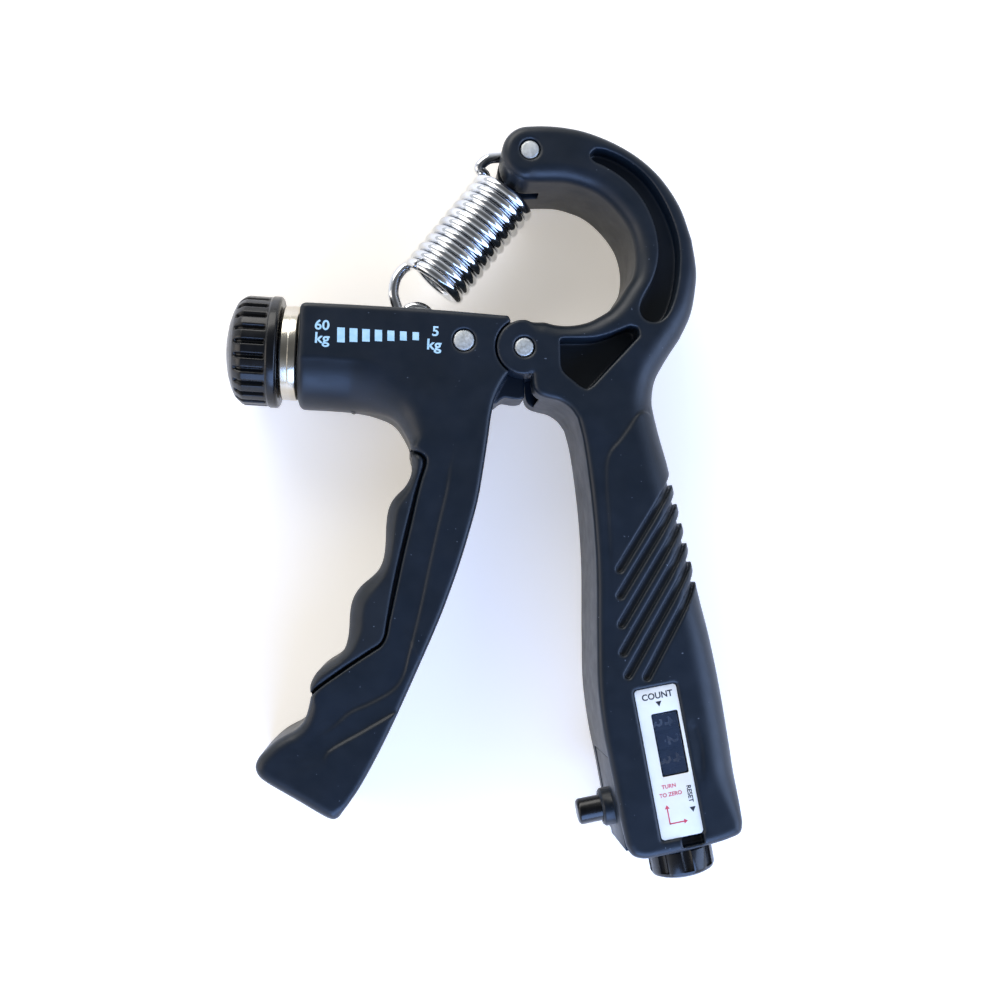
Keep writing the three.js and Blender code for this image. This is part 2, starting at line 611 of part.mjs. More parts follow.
// ---- assembly -----------------------------------------------------------------------
const group = new THREE.Group();
group.name = 'hand_grip_trainer';
group.add(
  node('main_handle', mainHandle(), nylon),
  node('spring_pin', post(...TIP, PIN_R, -PIN_HALF, PIN_HALF), rivetMetal),
  node('pivot_pin', post(0, 0, PIN_R, -PIN_HALF, PIN_HALF), rivetMetal),
  node('side_cover', sideCover(), nylon),
  node('counter_case', counterCase(), innerWhite),
  node('counter_label', counterLabel(), print),
  node('counter_window', counterWindow(), lens),
  node('pinion_shaft', pinionShaft(), zincSteel),
  node('transfer_pinion_tens', pinion(1.7), innerWhite),
  node('transfer_pinion_hundreds', pinion(5.7), innerWhite),
  node('tension_spring', wire(springPath(), WIRE_R, 200, 3), springSteel),
  node('button_spring', inCounter(wire(buttonSpring(), 0.2, 44, 2)), zincSteel),
  node('count_button', countButton(), glossBlack),
  node('units_wheel', numberWheel(WHEEL_AT[2], true), wheelWhite),
  node('tens_wheel', numberWheel(WHEEL_AT[1], false), wheelWhite),
  node('hundreds_wheel', numberWheel(WHEEL_AT[0], false), wheelWhite),
  node('counter_shaft', counterShaft(), zincSteel),
  node('reset_knob', resetKnob(), glossBlack),
  node('lever_handle', leverHandle(), nylon),
  node('finger_grip', fingerGrip(), softGrip),
  node('retaining_pin', retainingPin(), rivetMetal),
  node('steel_collar', steelCollar(), nickel),
  node('adjust_knob', adjustKnob(), glossBlack),
  node('lead_screw', leadScrew(), zincSteel),
  node('slider_nut', sliderNut(), zincSteel),
  node('hook_pin', hookPin(), zincSteel),
);

const outline = new THREE.Box3().setFromObject(group);
const centre = outline.getCenter(new THREE.Vector3());
for (const part of group.children) {
  part.geometry.translate(-centre.x, -centre.y, -outline.min.z);
}

export default group;
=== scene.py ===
# %% [markdown]
# # A hand-grip strengthener with a counter
# Two moulded handles turn on one rivet, and a chromed extension spring pulls them apart.
# The small knob winds the spring's lower hook along the barrel, from 60 kg to 5 kg.
# Every piece below is drawn in millimetres from the hinge rivet and then moved to its
# place beside the simple solids of the frame, so each one rides on the right moving body.

# %% Start
import json
import math

import bmesh
import bpy
import numpy as np
from mathutils import Matrix, Vector

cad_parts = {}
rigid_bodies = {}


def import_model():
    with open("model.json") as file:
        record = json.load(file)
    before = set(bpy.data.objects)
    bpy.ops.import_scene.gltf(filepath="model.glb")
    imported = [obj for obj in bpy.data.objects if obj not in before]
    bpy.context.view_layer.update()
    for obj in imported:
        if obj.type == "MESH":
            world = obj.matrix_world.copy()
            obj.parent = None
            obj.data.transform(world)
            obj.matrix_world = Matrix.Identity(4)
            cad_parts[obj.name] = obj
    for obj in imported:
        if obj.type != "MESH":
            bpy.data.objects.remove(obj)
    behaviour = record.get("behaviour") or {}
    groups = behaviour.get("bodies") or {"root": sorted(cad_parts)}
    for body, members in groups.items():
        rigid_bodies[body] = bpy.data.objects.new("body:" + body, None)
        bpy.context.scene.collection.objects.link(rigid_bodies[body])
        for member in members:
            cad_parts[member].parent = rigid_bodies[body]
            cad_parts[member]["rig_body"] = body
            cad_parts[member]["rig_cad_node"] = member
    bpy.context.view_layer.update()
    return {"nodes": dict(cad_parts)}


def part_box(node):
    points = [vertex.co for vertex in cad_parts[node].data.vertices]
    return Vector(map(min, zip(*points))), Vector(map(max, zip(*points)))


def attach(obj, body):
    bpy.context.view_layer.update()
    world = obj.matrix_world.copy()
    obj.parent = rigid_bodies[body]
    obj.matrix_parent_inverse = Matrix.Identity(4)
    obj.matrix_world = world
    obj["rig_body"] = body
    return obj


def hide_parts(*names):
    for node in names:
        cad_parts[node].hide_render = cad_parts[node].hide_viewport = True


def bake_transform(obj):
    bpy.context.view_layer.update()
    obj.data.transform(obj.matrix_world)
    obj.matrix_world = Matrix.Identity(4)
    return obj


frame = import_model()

MM = 0.001
pin_low, pin_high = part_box("pivot_pin")
HINGE = (pin_low + pin_high) / 2          # every drawing below is measured from here
print("hinge rivet at", [round(c / MM, 2) for c in HINGE], "mm")

# %% [markdown]
# ## Colours
# Paint and plastic colours are written as the hex codes a designer would use. A shader
# needs linear light, so one function changes every code, and nothing is typed twice.

# %% Colours
def linear(code):
    """'#rrggbb' as linear red, green, blue and alpha."""
    parts = [int(code[i:i + 2], 16) / 255 for i in (1, 3, 5)]
    return [c / 12.92 if c <= 0.04045 else ((c + 0.055) / 1.055) ** 2.4 for c in parts] + [1]


print("nylon blue-black", [round(c, 4) for c in linear("#1d232b")])

# %% [markdown]
# ## Shader nodes
# A material is a small graph of nodes. One helper adds any node: its settings, and its
# inputs as either plain values or sockets to link. A second helper starts a material
# with its main shader, where values that are the same all over are set directly.

# %% Node helpers
def add(material, kind, settings=None, inputs=None):
    """Adds one shader node and returns it."""
    node = material.node_tree.nodes.new(kind)
    for key, value in (settings or {}).items():
        setattr(node, key, value)
    for key, value in (inputs or {}).items():
        if isinstance(value, bpy.types.NodeSocket):
            material.node_tree.links.new(value, node.inputs[key])
        else:
            node.inputs[key].default_value = value
    return node


def start_material(name, **values):
    """A material with one Principled shader, whose sockets take the given values."""
    material = bpy.data.materials.new(name)
    material.use_nodes = True
    shader = material.node_tree.nodes["Principled BSDF"]
    for key, value in values.items():
        shader.inputs[key.replace("_", " ")].default_value = value
    return material, shader


def connect(material, output, target):
    material.node_tree.links.new(output, target)


# %% [markdown]
# ## A finish made of grain, mottling and dust
# Moulded, plated and printed surfaces differ in size of grain and in how much the gloss
# wanders. Noise in object space does all of it: fine noise drives the bump, broad noise
# shifts colour and gloss a little, and a sparse noise leaves pale specks of dust.
# The sizes are real ones, so a 0.25 mm spark-eroded grain reads as 0.25 mm.

# %% Finish helper
def noise(material, size_mm, detail=2.0, rough=0.5, stretch=None):
    """Noise whose blobs are about size_mm across, stretched along an axis if asked."""
    where = add(material, "ShaderNodeTexCoord").outputs["Object"]
    if stretch:
        where = add(material, "ShaderNodeMapping", None,
                    {"Vector": where, "Scale": stretch}).outputs["Vector"]
    return add(material, "ShaderNodeTexNoise", None,
               {"Vector": where, "Scale": 1 / (size_mm * MM), "Detail": detail,
                "Roughness": rough}).outputs["Fac"]


def remap(material, value, low, high, out_low, out_high):
    return add(material, "ShaderNodeMapRange", None,
               {"Value": value, "From Min": low, "From Max": high,
                "To Min": out_low, "To Max": out_high}).outputs["Result"]


def mix_colour(material, factor, first, second):
    node = add(material, "ShaderNodeMix", {"data_type": "RGBA"}, {0: factor})
    for index, colour in ((6, first), (7, second)):
        if isinstance(colour, bpy.types.NodeSocket):
            connect(material, colour, node.inputs[index])
        else:
            node.inputs[index].default_value = colour
    return node.outputs[2]


def finish(name, colour, second, gloss, grain_mm, grain_height_mm, metal=0.0, specks=0.0,
           patch_mm=14.0, stretch=None, **values):
    """Colour wandering to a second colour, roughness between two values, and grain."""
    material, shader = start_material(name, Metallic=metal, **values)
    broad = noise(material, patch_mm, 3.0, 0.55)
    tone = mix_colour(material, remap(material, broad, 0.35, 0.68, 0, 1),
                      linear(colour), linear(second))
    fine = noise(material, grain_mm, 2.0, 0.6, stretch)
    if specks:
        dust = noise(material, 0.55, 0.0)
        spot = remap(material, dust, 1 - specks, 1 - specks + 0.02, 0, 0.35)
        tone = mix_colour(material, spot, tone, linear("#8d97a5"))
    connect(material, tone, shader.inputs["Base Color"])
    cloud = noise(material, patch_mm * 0.35, 4.0, 0.6)
    connect(material, remap(material, cloud, 0.3, 0.7, *gloss), shader.inputs["Roughness"])
    bump = add(material, "ShaderNodeBump", None,
               {"Strength": 1.0, "Distance": grain_height_mm * MM, "Height": fine})
    connect(material, bump.outputs["Normal"], shader.inputs["Normal"])
    return material


# %% [markdown]
# ## The finishes of this tool
# Each material is named for what the part is made of and how it is made. Plastics are
# dielectrics with an index of 1.42 to 1.55, metals keep the default index and get their look
# from metallic = 1 and a pale colour.

# %% Plastics
# glass-filled nylon, injection moulded with a fine spark-eroded texture: a satin blue-black
# that lights up softly along every rounded edge
nylon = finish("moulded_nylon", "#0d1720", "#121c27", (0.36, 0.46), 0.28, 0.006,
               specks=0.13, IOR=1.43)
# thermoplastic rubber moulded over the lever's rib: darker, with a duller bloom
soft_grip = finish("overmoulded_rubber", "#0c151d", "#111a23", (0.46, 0.58), 0.22, 0.008,
                   specks=0.14, IOR=1.42)
# polished ABS for the knobs and the button: near black with sharp window reflections
gloss_abs = finish("polished_abs", "#06080b", "#0b0d11", (0.22, 0.34), 1.2, 0.004,
                   patch_mm=8.0, IOR=1.42, Coat_Weight=0.08, Coat_Roughness=0.08)
# natural acetal for the counter's small gears and its tray: milky and slightly waxy
acetal = finish("natural_acetal", "#b9bcbc", "#c8cac8", (0.35, 0.45), 0.5, 0.004, IOR=1.48)
# dark blue-grey styrene of the number wheels
wheel_plastic = finish("wheel_styrene", "#39424f", "#434d5b", (0.42, 0.5), 0.4, 0.004,
                       patch_mm=4.0, IOR=1.55)
print("plastics ready")

# %% Metals
# chrome over spring steel wire: bright, with faint drawing lines along the wire
chrome = finish("chromed_spring_wire", "#c9ccd1", "#e2e4e6", (0.07, 0.14), 0.35, 0.002,
                metal=1.0, patch_mm=5.0)
# nickel over a turned steel ring: warmer than chrome, cutting lines run round the ring
nickel = finish("nickel_plated_steel", "#c9c1b1", "#dcd6c9", (0.14, 0.24), 0.12, 0.003,
                metal=1.0, patch_mm=9.0, stretch=(30.0, 1.0, 1.0))
# pressed aluminium rivet ends: satin from the tool, slightly greyer in patches
rivet_alloy = finish("pressed_aluminium", "#d3d8d7", "#eef0ee", (0.42, 0.62), 0.45, 0.012,
                     metal=1.0, patch_mm=1.8)
# zinc-plated steel of the screw, nut and shafts, oily and a little dull
zinc = finish("zinc_plated_steel", "#8f959a", "#a9aeb2", (0.26, 0.4), 0.3, 0.004,
              metal=1.0, patch_mm=3.0)
print("metals ready")

# %% Print and lens
# off-white label stock with paper tooth: warm white, hardly any shine
label_stock = finish("label_card", "#e6e2d6", "#efece2", (0.5, 0.62), 0.12, 0.006,
                     patch_mm=6.0, IOR=1.45)
# screen-printed inks: pale blue on the barrel, black and red on the label
pale_ink = finish("pale_blue_ink", "#a9d2e4", "#bfe0ee", (0.4, 0.55), 0.2, 0.004,
                  patch_mm=1.5, IOR=1.47)
black_ink = finish("black_ink", "#16171b", "#24252a", (0.5, 0.6), 0.2, 0.002,
                   patch_mm=1.0, IOR=1.47)
red_ink = finish("red_ink", "#c4283a", "#d9586a", (0.5, 0.6), 0.2, 0.002,
                 patch_mm=1.0, IOR=1.47)
digit_ink = finish("wheel_numeral_ink", "#e9eef5", "#ffffff", (0.45, 0.55), 0.2, 0.002,
                   patch_mm=1.0, IOR=1.47)
# smoke-tinted acrylic over the number wheels, flat and polished
lens = finish("smoked_acrylic", "#333f50", "#3b485b", (0.06, 0.12), 3.0, 0.002,
              patch_mm=6.0, IOR=1.49, Alpha=0.42)
print("inks and lens ready")

# %% [markdown]
# ## Drawing a plan
# A moulded handle is a flat plan given thickness, with its edges rounded by different
# amounts. Strokes are short lists of points: each is drawn as a smooth curve, and where
# two strokes meet there may be a corner. Each stroke also says how round its edge is.

# %% Strokes
def smooth_through(points, spacing=0.7):
    """A centripetal Catmull-Rom curve through the points, as closely spaced points."""
    p = np.array(points, float)
    if len(p) == 2:
        count = max(2, int(np.hypot(*(p[1] - p[0])) / spacing) + 1)
        return p[0] + np.linspace(0, 1, count)[:, None] * (p[1] - p[0])
    p = np.vstack([2 * p[0] - p[1], p, 2 * p[-1] - p[-2]])
    out = []
    for a, b, c, d in zip(p[:-3], p[1:-2], p[2:-1], p[3:]):
        t1 = np.hypot(*(b - a)) ** 0.5
        t2 = t1 + np.hypot(*(c - b)) ** 0.5
        t3 = t2 + np.hypot(*(d - c)) ** 0.5
        count = max(2, int(np.hypot(*(c - b)) / spacing) + 1)
        t = np.linspace(t1, t2, count, endpoint=False)[:, None]
        ab = a + (b - a) * t / t1
        bc = b + (c - b) * (t - t1) / (t2 - t1)
        cd = c + (d - c) * (t - t2) / (t3 - t2)
        abc = ab + (bc - ab) * t / t2
        bcd = bc + (cd - bc) * (t - t1) / (t3 - t1)
        out.append(abc + (bcd - abc) * (t - t1) / (t2 - t1))
    return np.vstack(out + [p[-2:-1]])


def arc(x, y, radius, start, end):
    """Points on a circle from one angle to another, in degrees."""
    angles = np.radians(np.linspace(start, end, max(3, int(abs(end - start) / 12) + 1)))
    return [(x + radius * math.cos(t), y + radius * math.sin(t)) for t in angles]


# %% [markdown]
# ## Distance to a plan
# To round, hollow and groove a shape freely it helps to know, at any point, how far the
# nearest outline is. Plan works that out once on a fine grid and reads between the grid
# points afterwards. Inside is negative. An open line gives its two sides opposite signs.

# %% Plan
GRID = 0.4          # mm between grid points


class Plan:
    """Signed distance to drawn strokes, with the edge rounding of the nearest stroke."""

    def __init__(self, strokes, low, high, closed=True):
        self.low = np.array(low, float)
        xs = np.arange(low[0], high[0] + GRID, GRID)
        ys = np.arange(low[1], high[1] + GRID, GRID)
        line, rounding = [], []
        for points, radius in strokes:
            curve = smooth_through(points)
            line.append(curve)
            ends = radius if isinstance(radius, tuple) else (radius, radius)
            rounding.append(np.linspace(*ends, len(curve)))
        line, rounding = np.vstack(line), np.concatenate(rounding)
        keep = np.hypot(*np.diff(line, axis=0).T) > 1e-4
        a, b, r = line[:-1][keep], line[1:][keep], rounding[:-1][keep]
        grid = np.stack(np.meshgrid(xs, ys, indexing="ij"), -1).reshape(-1, 2)
        found = [self._nearest(grid[i:i + 3000], a, b) for i in range(0, len(grid), 3000)]
        gap, index, side, inside = (np.concatenate(f) for f in zip(*found))
        sign = np.where(inside, -1, 1) if closed else np.where(side >= 0, -1, 1)
        self.shape = (len(xs), len(ys))
        self.distance = (gap * sign).reshape(self.shape)
        self.rounding = self._blur(r[index].reshape(self.shape), 14)
        self.along = (index / len(a)).reshape(self.shape)

    @staticmethod
    def _nearest(points, a, b):
        ab = b - a
        p = points[:, None] - a[None]
        t = np.clip((p * ab).sum(-1) / (ab * ab).sum(-1), 0, 1)
        gap = p - t[..., None] * ab
        far = (gap ** 2).sum(-1)
        best = far.argmin(1)
        row = np.arange(len(points))
        side = ab[best, 0] * gap[row, best, 1] - ab[best, 1] * gap[row, best, 0]
        y = points[:, 1:2]
        crosses = (a[:, 1] > y) != (b[:, 1] > y)
        rise = np.where(b[:, 1] == a[:, 1], 1e-9, b[:, 1] - a[:, 1])
        at = a[:, 0] + (y - a[:, 1]) * ab[:, 0] / rise
        inside = (crosses & (points[:, 0:1] < at)).sum(1) % 2 == 1
        return np.sqrt(far[row, best]), best, side, inside

    @staticmethod
    def _blur(values, times):
        for _ in range(times):
            v = np.pad(values, 1, mode="edge")
            values = (v[:-2, 1:-1] + v[2:, 1:-1] + v[1:-1, :-2] + v[1:-1, 2:] + v[1:-1, 1:-1]) / 5
        return values

    def read(self, grid, x, y):
        """The stored value at any x and y, between the grid points."""
        x, y = np.broadcast_arrays(x, y)
        u = np.clip((x - self.low[0]) / GRID, 0, self.shape[0] - 1.001)
        v = np.clip((y - self.low[1]) / GRID, 0, self.shape[1] - 1.001)
        i, j = u.astype(int), v.astype(int)
        u, v = u - i, v - j
        lower = grid[i, j] * (1 - u) + grid[i + 1, j] * u
        upper = grid[i, j + 1] * (1 - u) + grid[i + 1, j + 1] * u
        return lower * (1 - v) + upper * v

    def __call__(self, x, y):
        return self.read(self.distance, x, y)

    def edge(self, x, y):
        return self.read(self.rounding, x, y)

    def part(self, x, y):
        """How far along the line the nearest point is, from 0 to 1."""
        return self.read(self.along, x, y)


# %% [markdown]
# ## Rounding, joining and cutting
# With distances in hand, a moulded body is an extrusion whose edges are rounded, a pocket
# is a soft maximum with the negative of its tool, and two bodies join by a minimum.

# %% Shape arithmetic
def rounded(flat, thick, radius):
    """An extrusion from its plan distance and its distance past the faces."""
    a, b = flat + radius, thick + radius
    outer = np.hypot(np.maximum(a, 0), np.maximum(b, 0))
    return np.minimum(np.maximum(a, b), 0) + outer - radius


def soft_max(a, b, soft):
    blend = np.maximum(soft - np.abs(a - b), 0)
    return np.maximum(a, b) + blend * blend / (4 * soft)


def cut(body, tool, soft=0.35):
    """Takes the tool out of the body, with a softened rim."""
    return soft_max(body, -tool, soft)


def brick(x, y, z, low, high, radius=0.0):
    """Distance to a box, with its corners rounded."""
    centre = [(a + b) / 2 for a, b in zip(low, high)]
    q = [np.abs(v - c) - (b - a) / 2 + radius
         for v, c, a, b in zip((x, y, z), centre, low, high)]
    outside = np.sqrt(sum(np.maximum(v, 0) ** 2 for v in q))
    return outside + np.minimum(np.maximum(np.maximum(q[0], q[1]), q[2]), 0) - radius


def capsule(x, y, start, end, radius):
    """Plan distance to a straight slot with round ends."""
    dx, dy = end[0] - start[0], end[1] - start[1]
    t = np.clip(((x - start[0]) * dx + (y - start[1]) * dy) / (dx * dx + dy * dy), 0, 1)
    return np.hypot(x - start[0] - t * dx, y - start[1] - t * dy) - radius


def smooth_step(value, low, high):
    t = np.clip((value - low) / (high - low), 0, 1)
    return t * t * (3 - 2 * t)


# %% [markdown]
# ## Turning distances into a surface
# The space is sampled on a grid, a vertex is put in every cell that the surface crosses,
# and neighbouring vertices make quads. Each vertex is then slid along the slope of the
# distance until it lies on the surface, so the skin is smooth at any grid size.

# %% Surface
def skin(shape, low, high, step=GRID):
    """Vertices and quads of the surface where shape(x, y, z) is zero."""
    xs, ys, zs = (np.arange(a, b + step, step) for a, b in zip(low, high))
    value = np.asarray(shape(xs[:, None, None], ys[None, :, None], zs[None, None, :]))
    value = np.ascontiguousarray(np.broadcast_to(value, (len(xs), len(ys), len(zs))), np.float32)
    origin = np.array([xs[0], ys[0], zs[0]])
    cells = np.array(value.shape) - 1
    corners, points = [], []
    for axis in range(3):
        near = [slice(None)] * 3
        far = [slice(None)] * 3
        near[axis], far[axis] = slice(0, -1), slice(1, None)
        a, b = value[tuple(near)], value[tuple(far)]
        crossing = np.argwhere((a < 0) != (b < 0))
        others = [k for k in range(3) if k != axis]
        ok = np.all([(crossing[:, k] > 0) & (crossing[:, k] < cells[k]) for k in others], 0)
        crossing = crossing[ok]
        va, vb = a[tuple(crossing.T)], b[tuple(crossing.T)]
        at = crossing.astype(float)
        at[:, axis] += va / (va - vb)
        ring = []
        for du, dv in ((0, 0), (1, 0), (1, 1), (0, 1)):
            cell = crossing.copy()
            cell[:, others[0]] -= du
            cell[:, others[1]] -= dv
            ring.append((cell[:, 0] * cells[1] + cell[:, 1]) * cells[2] + cell[:, 2])
        ring = np.stack(ring, 1)
        flip = (va < 0) == (axis == 1)
        ring[flip] = ring[flip][:, ::-1]
        corners.append(ring)
        points.append(np.repeat(at, 4, axis=0).reshape(-1, 4, 3))
    corners, points = np.vstack(corners), np.vstack(points)
    _, index = np.unique(corners, return_inverse=True)
    index = index.reshape(-1)
    count = np.bincount(index)
    vertices = np.stack([np.bincount(index, points[..., k].reshape(-1)) / count
                         for k in range(3)], 1) * step + origin
    quads = index.reshape(-1, 4)
    for _ in range(3):
        vertices = settle(shape, vertices, step)
    return vertices, quads


def settle(shape, vertices, step):
    """Moves vertices onto the surface along the slope of the distance."""
    x, y, z = vertices.T
    small = 0.04
    here = shape(x, y, z)
    slope = np.stack([(shape(x + small, y, z) - shape(x - small, y, z)),
                      (shape(x, y + small, z) - shape(x, y - small, z)),
                      (shape(x, y, z + small) - shape(x, y, z - small))], 1) / (2 * small)
    size = np.maximum((slope ** 2).sum(1), 0.25)
    move = -(here / size)[:, None] * slope
    far = np.linalg.norm(move, axis=1)
    move *= np.minimum(1, step * 0.6 / np.maximum(far, 1e-9))[:, None]
    return vertices + move


# %% [markdown]
# ## Making an object from points
# Everything is drawn around the hinge in millimetres. This one function puts a mesh in
# the frame in metres, smooths its shading, gives it a finish, ties it to the moving body
# it belongs to, and hides the simple solids it stands for.

# %% Object helpers
def to_frame(points):
    return np.asarray(points, float) * MM + np.array(HINGE)


def make_piece(name, vertices, faces, material, body, stands_for=()):
    """A mesh object in the frame, riding on a body."""
    mesh = bpy.data.meshes.new(name)
    points = to_frame(vertices)
    if isinstance(faces, np.ndarray):
        mesh.vertices.add(len(points))
        mesh.vertices.foreach_set("co", points.astype(np.float32).ravel())
        mesh.loops.add(faces.size)
        mesh.loops.foreach_set("vertex_index", faces.astype(np.int32).ravel())
        mesh.polygons.add(len(faces))
        mesh.polygons.foreach_set("loop_start", np.arange(0, faces.size, 4, dtype=np.int32))
        mesh.update(calc_edges=True)
    else:
        mesh.from_pydata([tuple(p) for p in points], [], faces)
    mesh.validate()
    mesh.shade_smooth()
    return dress(bpy.data.objects.new(name, mesh), material, body, stands_for)


def dress(piece, material, body, stands_for=()):
    if not piece.users_collection:
        bpy.context.scene.collection.objects.link(piece)
    piece.data.materials.clear()
    piece.data.materials.append(material)
    if body:
        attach(piece, body)
    if stands_for:
        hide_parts(*stands_for)
    return piece


# %% [markdown]
# ## The main handle
# The main handle sweeps from the spring rivet round an open bow, past the hinge, and down
# to the counter. The bow's edges are rounded by 2 mm, but the palm side of the grip is
# rounded by 6 to 7 mm, so light runs along it in one broad soft band. Drawing the edge
# rounding with each stroke keeps that difference in the shape itself.

# %% Main handle plan
HALF = 12.5
EAR = 5.9
PLAN_LOW, PLAN_HIGH = (-9.0, -113.0), (51.0, 52.0)
BOW_OUTER = [(1.4, 48.6), (4.4, 48.75), (8.1, 48.6), (12.5, 47.95), (16.9, 46.6), (21.2, 44.7),
             (25.6, 42.0), (30, 38), (34.3, 31.6), (36.9, 24.3)]
BOW_FOOT = [(36.9, 24.3), (38.05, 17.6), (37.9, 13.5), (36.9, 7.9), (34.7, 3.0)]
WAIST = [(34.7, 3.0), (31, -2.7), (29.1, -6.5), (28.5, -10.6), (28.7, -12.8), (30, -18.3),
         (31.7, -24.2)]
PALM = [(31.7, -24.2), (34.3, -35), (36.4, -43.7), (38.4, -53), (40.5, -61.5), (42.6, -72),
        (44.6, -84.6), (45.4, -90.2)]
PALM_END = [(45.4, -90.2), (46.2, -97.5), (46.45, -101.2)]
HEEL = [(46.45, -101.2), (45.9, -103.3), (43.5, -104.5), (34.9, -106.7), (28.4, -107.9),
        (25.0, -108.3), (22.6, -107.6), (21.3, -105.6)]
INNER = [(21.3, -105.6), (20.1, -100.2), (18.3, -90.6), (16.6, -82), (15.5, -73), (15.3, -62),
         (15.3, -47), (14.8, -37.5), (13.9, -28.5), (12.6, -19.6), (11.5, -15.2)]
KNEE = [(11.5, -15.2), (9.9, -13.0), (7.6, -11.5), (5.2, -10.9), (3.4, -10.3), (2.3, -9.2),
        (1.9, -7.6), (1.9, -5.59)]
BOW_INNER = [(1.5, 5.7), (4.6, 5.9), (6.7, 5.4), (9.5, 5.2), (12.1, 5.5), (14.3, 6.1),
             (16.5, 7.2), (18.7, 8.6), (20.6, 10.6), (22.6, 13.7), (24.1, 16.2), (24.7, 20.1),
             (24.4, 23.2), (23.4, 26.5), (21.9, 29), (20.2, 31.1), (17.9, 33.3), (15.5, 34.9),
             (13.2, 35.8), (10.8, 36.5), (8.9, 36.8), (5.5, 36.8), (1.4, 36.6)]
main_plan = Plan([(BOW_OUTER, 2.0), (BOW_FOOT, (2.0, 5.5)), (WAIST, (5.5, 6.6)), (PALM, 6.6),
                  (PALM_END, (6.6, 2.4)), (HEEL, (2.4, 1.8)), (INNER, 1.5),
                  (KNEE, 1.2), (arc(0, 0, EAR, -71.3, -360 + 75.2), 0.4), (BOW_INNER, 3.4),
                  (arc(1.4, 42.6, 6.0, -90, -270), 2.0)], PLAN_LOW, PLAN_HIGH)
print("main plan grid", main_plan.shape)

# %% [markdown]
# ## What is hollowed into the main handle
# Both faces of the bow carry a curved pocket, and a deeper triangular one lightens the
# root. Six slanting grooves give the palm its grip and run out over the rounded edge.
# Near the heel there is a seat for the label, a window, a notch, and room for the counter.

# %% Main handle pockets
BOW_POCKET = [(15.7, 43.6), (17.7, 43.4), (22.5, 41.3), (27.3, 37.3), (31.2, 31.2),
              (33.6, 24.1), (33.8, 17.6), (32.6, 11.0), (30.8, 7.1), (28.6, 5.8), (26.2, 6.3),
              (25.1, 8.2), (25.5, 10.4), (28.1, 15.5), (29.3, 20.8), (28.4, 27.2),
              (25.6, 33.1), (21.7, 37.2), (17.6, 39.8), (15.2, 40.9), (14.5, 42.3),
              (15.7, 43.6)]
TRIANGLE = [((8.3, 2.0), (16, 2.4), (22.9, 4.9)), ((22.9, 4.9), (24.6, 4.4), (24.9, 2.7)),
            ((24.9, 2.7), (14.8, -8.1)), ((14.8, -8.1), (13.3, -8.9), (11.7, -8.1)),
            ((11.7, -8.1), (8.3, -5.1), (7.8, -3.6)), ((7.8, -3.6), (7.7, 1.3)),
            ((7.7, 1.3), (7.8, 1.8), (8.3, 2.0))]
GROOVES = [((20.2, -47.4), (31.7, -29)), ((20.3, -53), (32.7, -33.1)),
           ((20.5, -59.1), (33.8, -37.2)), ((20.8, -65), (34.8, -41.4)),
           ((21.8, -69.8), (35.8, -45.6)), ((25.8, -70.2), (36.9, -49.7))]
GROOVE_DEPTH, GROOVE_RADIUS = 0.98, 0.8
BOW_POCKET_DEPTH, TRIANGLE_DEPTH = 4.5, 6.5
PIN_HOLE, HINGE_PIN, SPRING_PIN = 2.3, (0, 0), (1.4, 43.1)
PANEL_LINE = [(28.3, -14.9), (27, -13.8), (25.6, -13.7), (24.2, -14.7), (22.6, -17.1),
              (20.4, -20.1), (18.5, -22.3), (17.7, -24.6), (17.5, -28.5), (18.1, -39.1),
              (18.4, -53.9)]
FOLD_LINE = [(35.7, -78.2), (36.5, -81.4), (37.4, -84.5), (37.7, -87.7), (37.9, -92.8)]
bow_pocket = Plan([(BOW_POCKET, 0)], PLAN_LOW, PLAN_HIGH)
triangle = Plan([(stroke, 0) for stroke in TRIANGLE], PLAN_LOW, PLAN_HIGH)
panel_line = Plan([(PANEL_LINE, 0)], PLAN_LOW, PLAN_HIGH, closed=False)
fold_line = Plan([(FOLD_LINE, 0)], PLAN_LOW, PLAN_HIGH, closed=False)
print("pockets drawn")

# %% [markdown]
# ## Counter and barrel axes
# The counter sits 10.3 degrees off the handle's own axes and the barrel droops 3.1
# degrees. Working in those turned axes keeps the boxes and holes simple to write.

# %% Turned axes
COUNTER, COUNTER_TURN = (30.3, -88.0), math.radians(10.3)
BARREL, BARREL_TURN = (-48.1, 0.1), math.radians(-3.1)


def into(x, y, centre, turn):
    """x and y as measured along turned axes from a centre."""
    c, s = math.cos(turn), math.sin(turn)
    dx, dy = x - centre[0], y - centre[1]
    return c * dx + s * dy, c * dy - s * dx


def out_of(u, v, centre, turn):
    """Back from turned axes to the drawing's own."""
    c, s = math.cos(turn), math.sin(turn)
    return centre[0] + c * u - s * v, centre[1] + s * u + c * v


def line_step(line, x, y, height, reach=5.0, fades=(0.1, 0.25)):
    """A little step beside a line, which dies away sideways and towards the ends."""
    d, along = line(x, y), line.part(x, y)
    side = smooth_step(d, -0.25, 0.25) * np.exp(-(np.maximum(d, 0) / reach) ** 2)
    ends = smooth_step(along, 0, fades[0]) * (1 - smooth_step(along, 1 - fades[1], 1))
    return height * side * ends


# %% Main handle shape
def hinge_room(x, y, a):
    """Room between the two ears for the lever's tongue and its stop lug."""
    post = np.hypot(x, y) - 5.6
    left = brick(x, y, 0 * x, (-12, -12, -1), (0.7, 12, 1))
    angle = np.degrees(np.arctan2(y, x))
    sector = np.where((angle < -40) & (angle > -107), np.hypot(x, y) - 10.9, 5.0)
    return np.maximum(np.minimum(np.minimum(post, left), sector), a - 5.8)


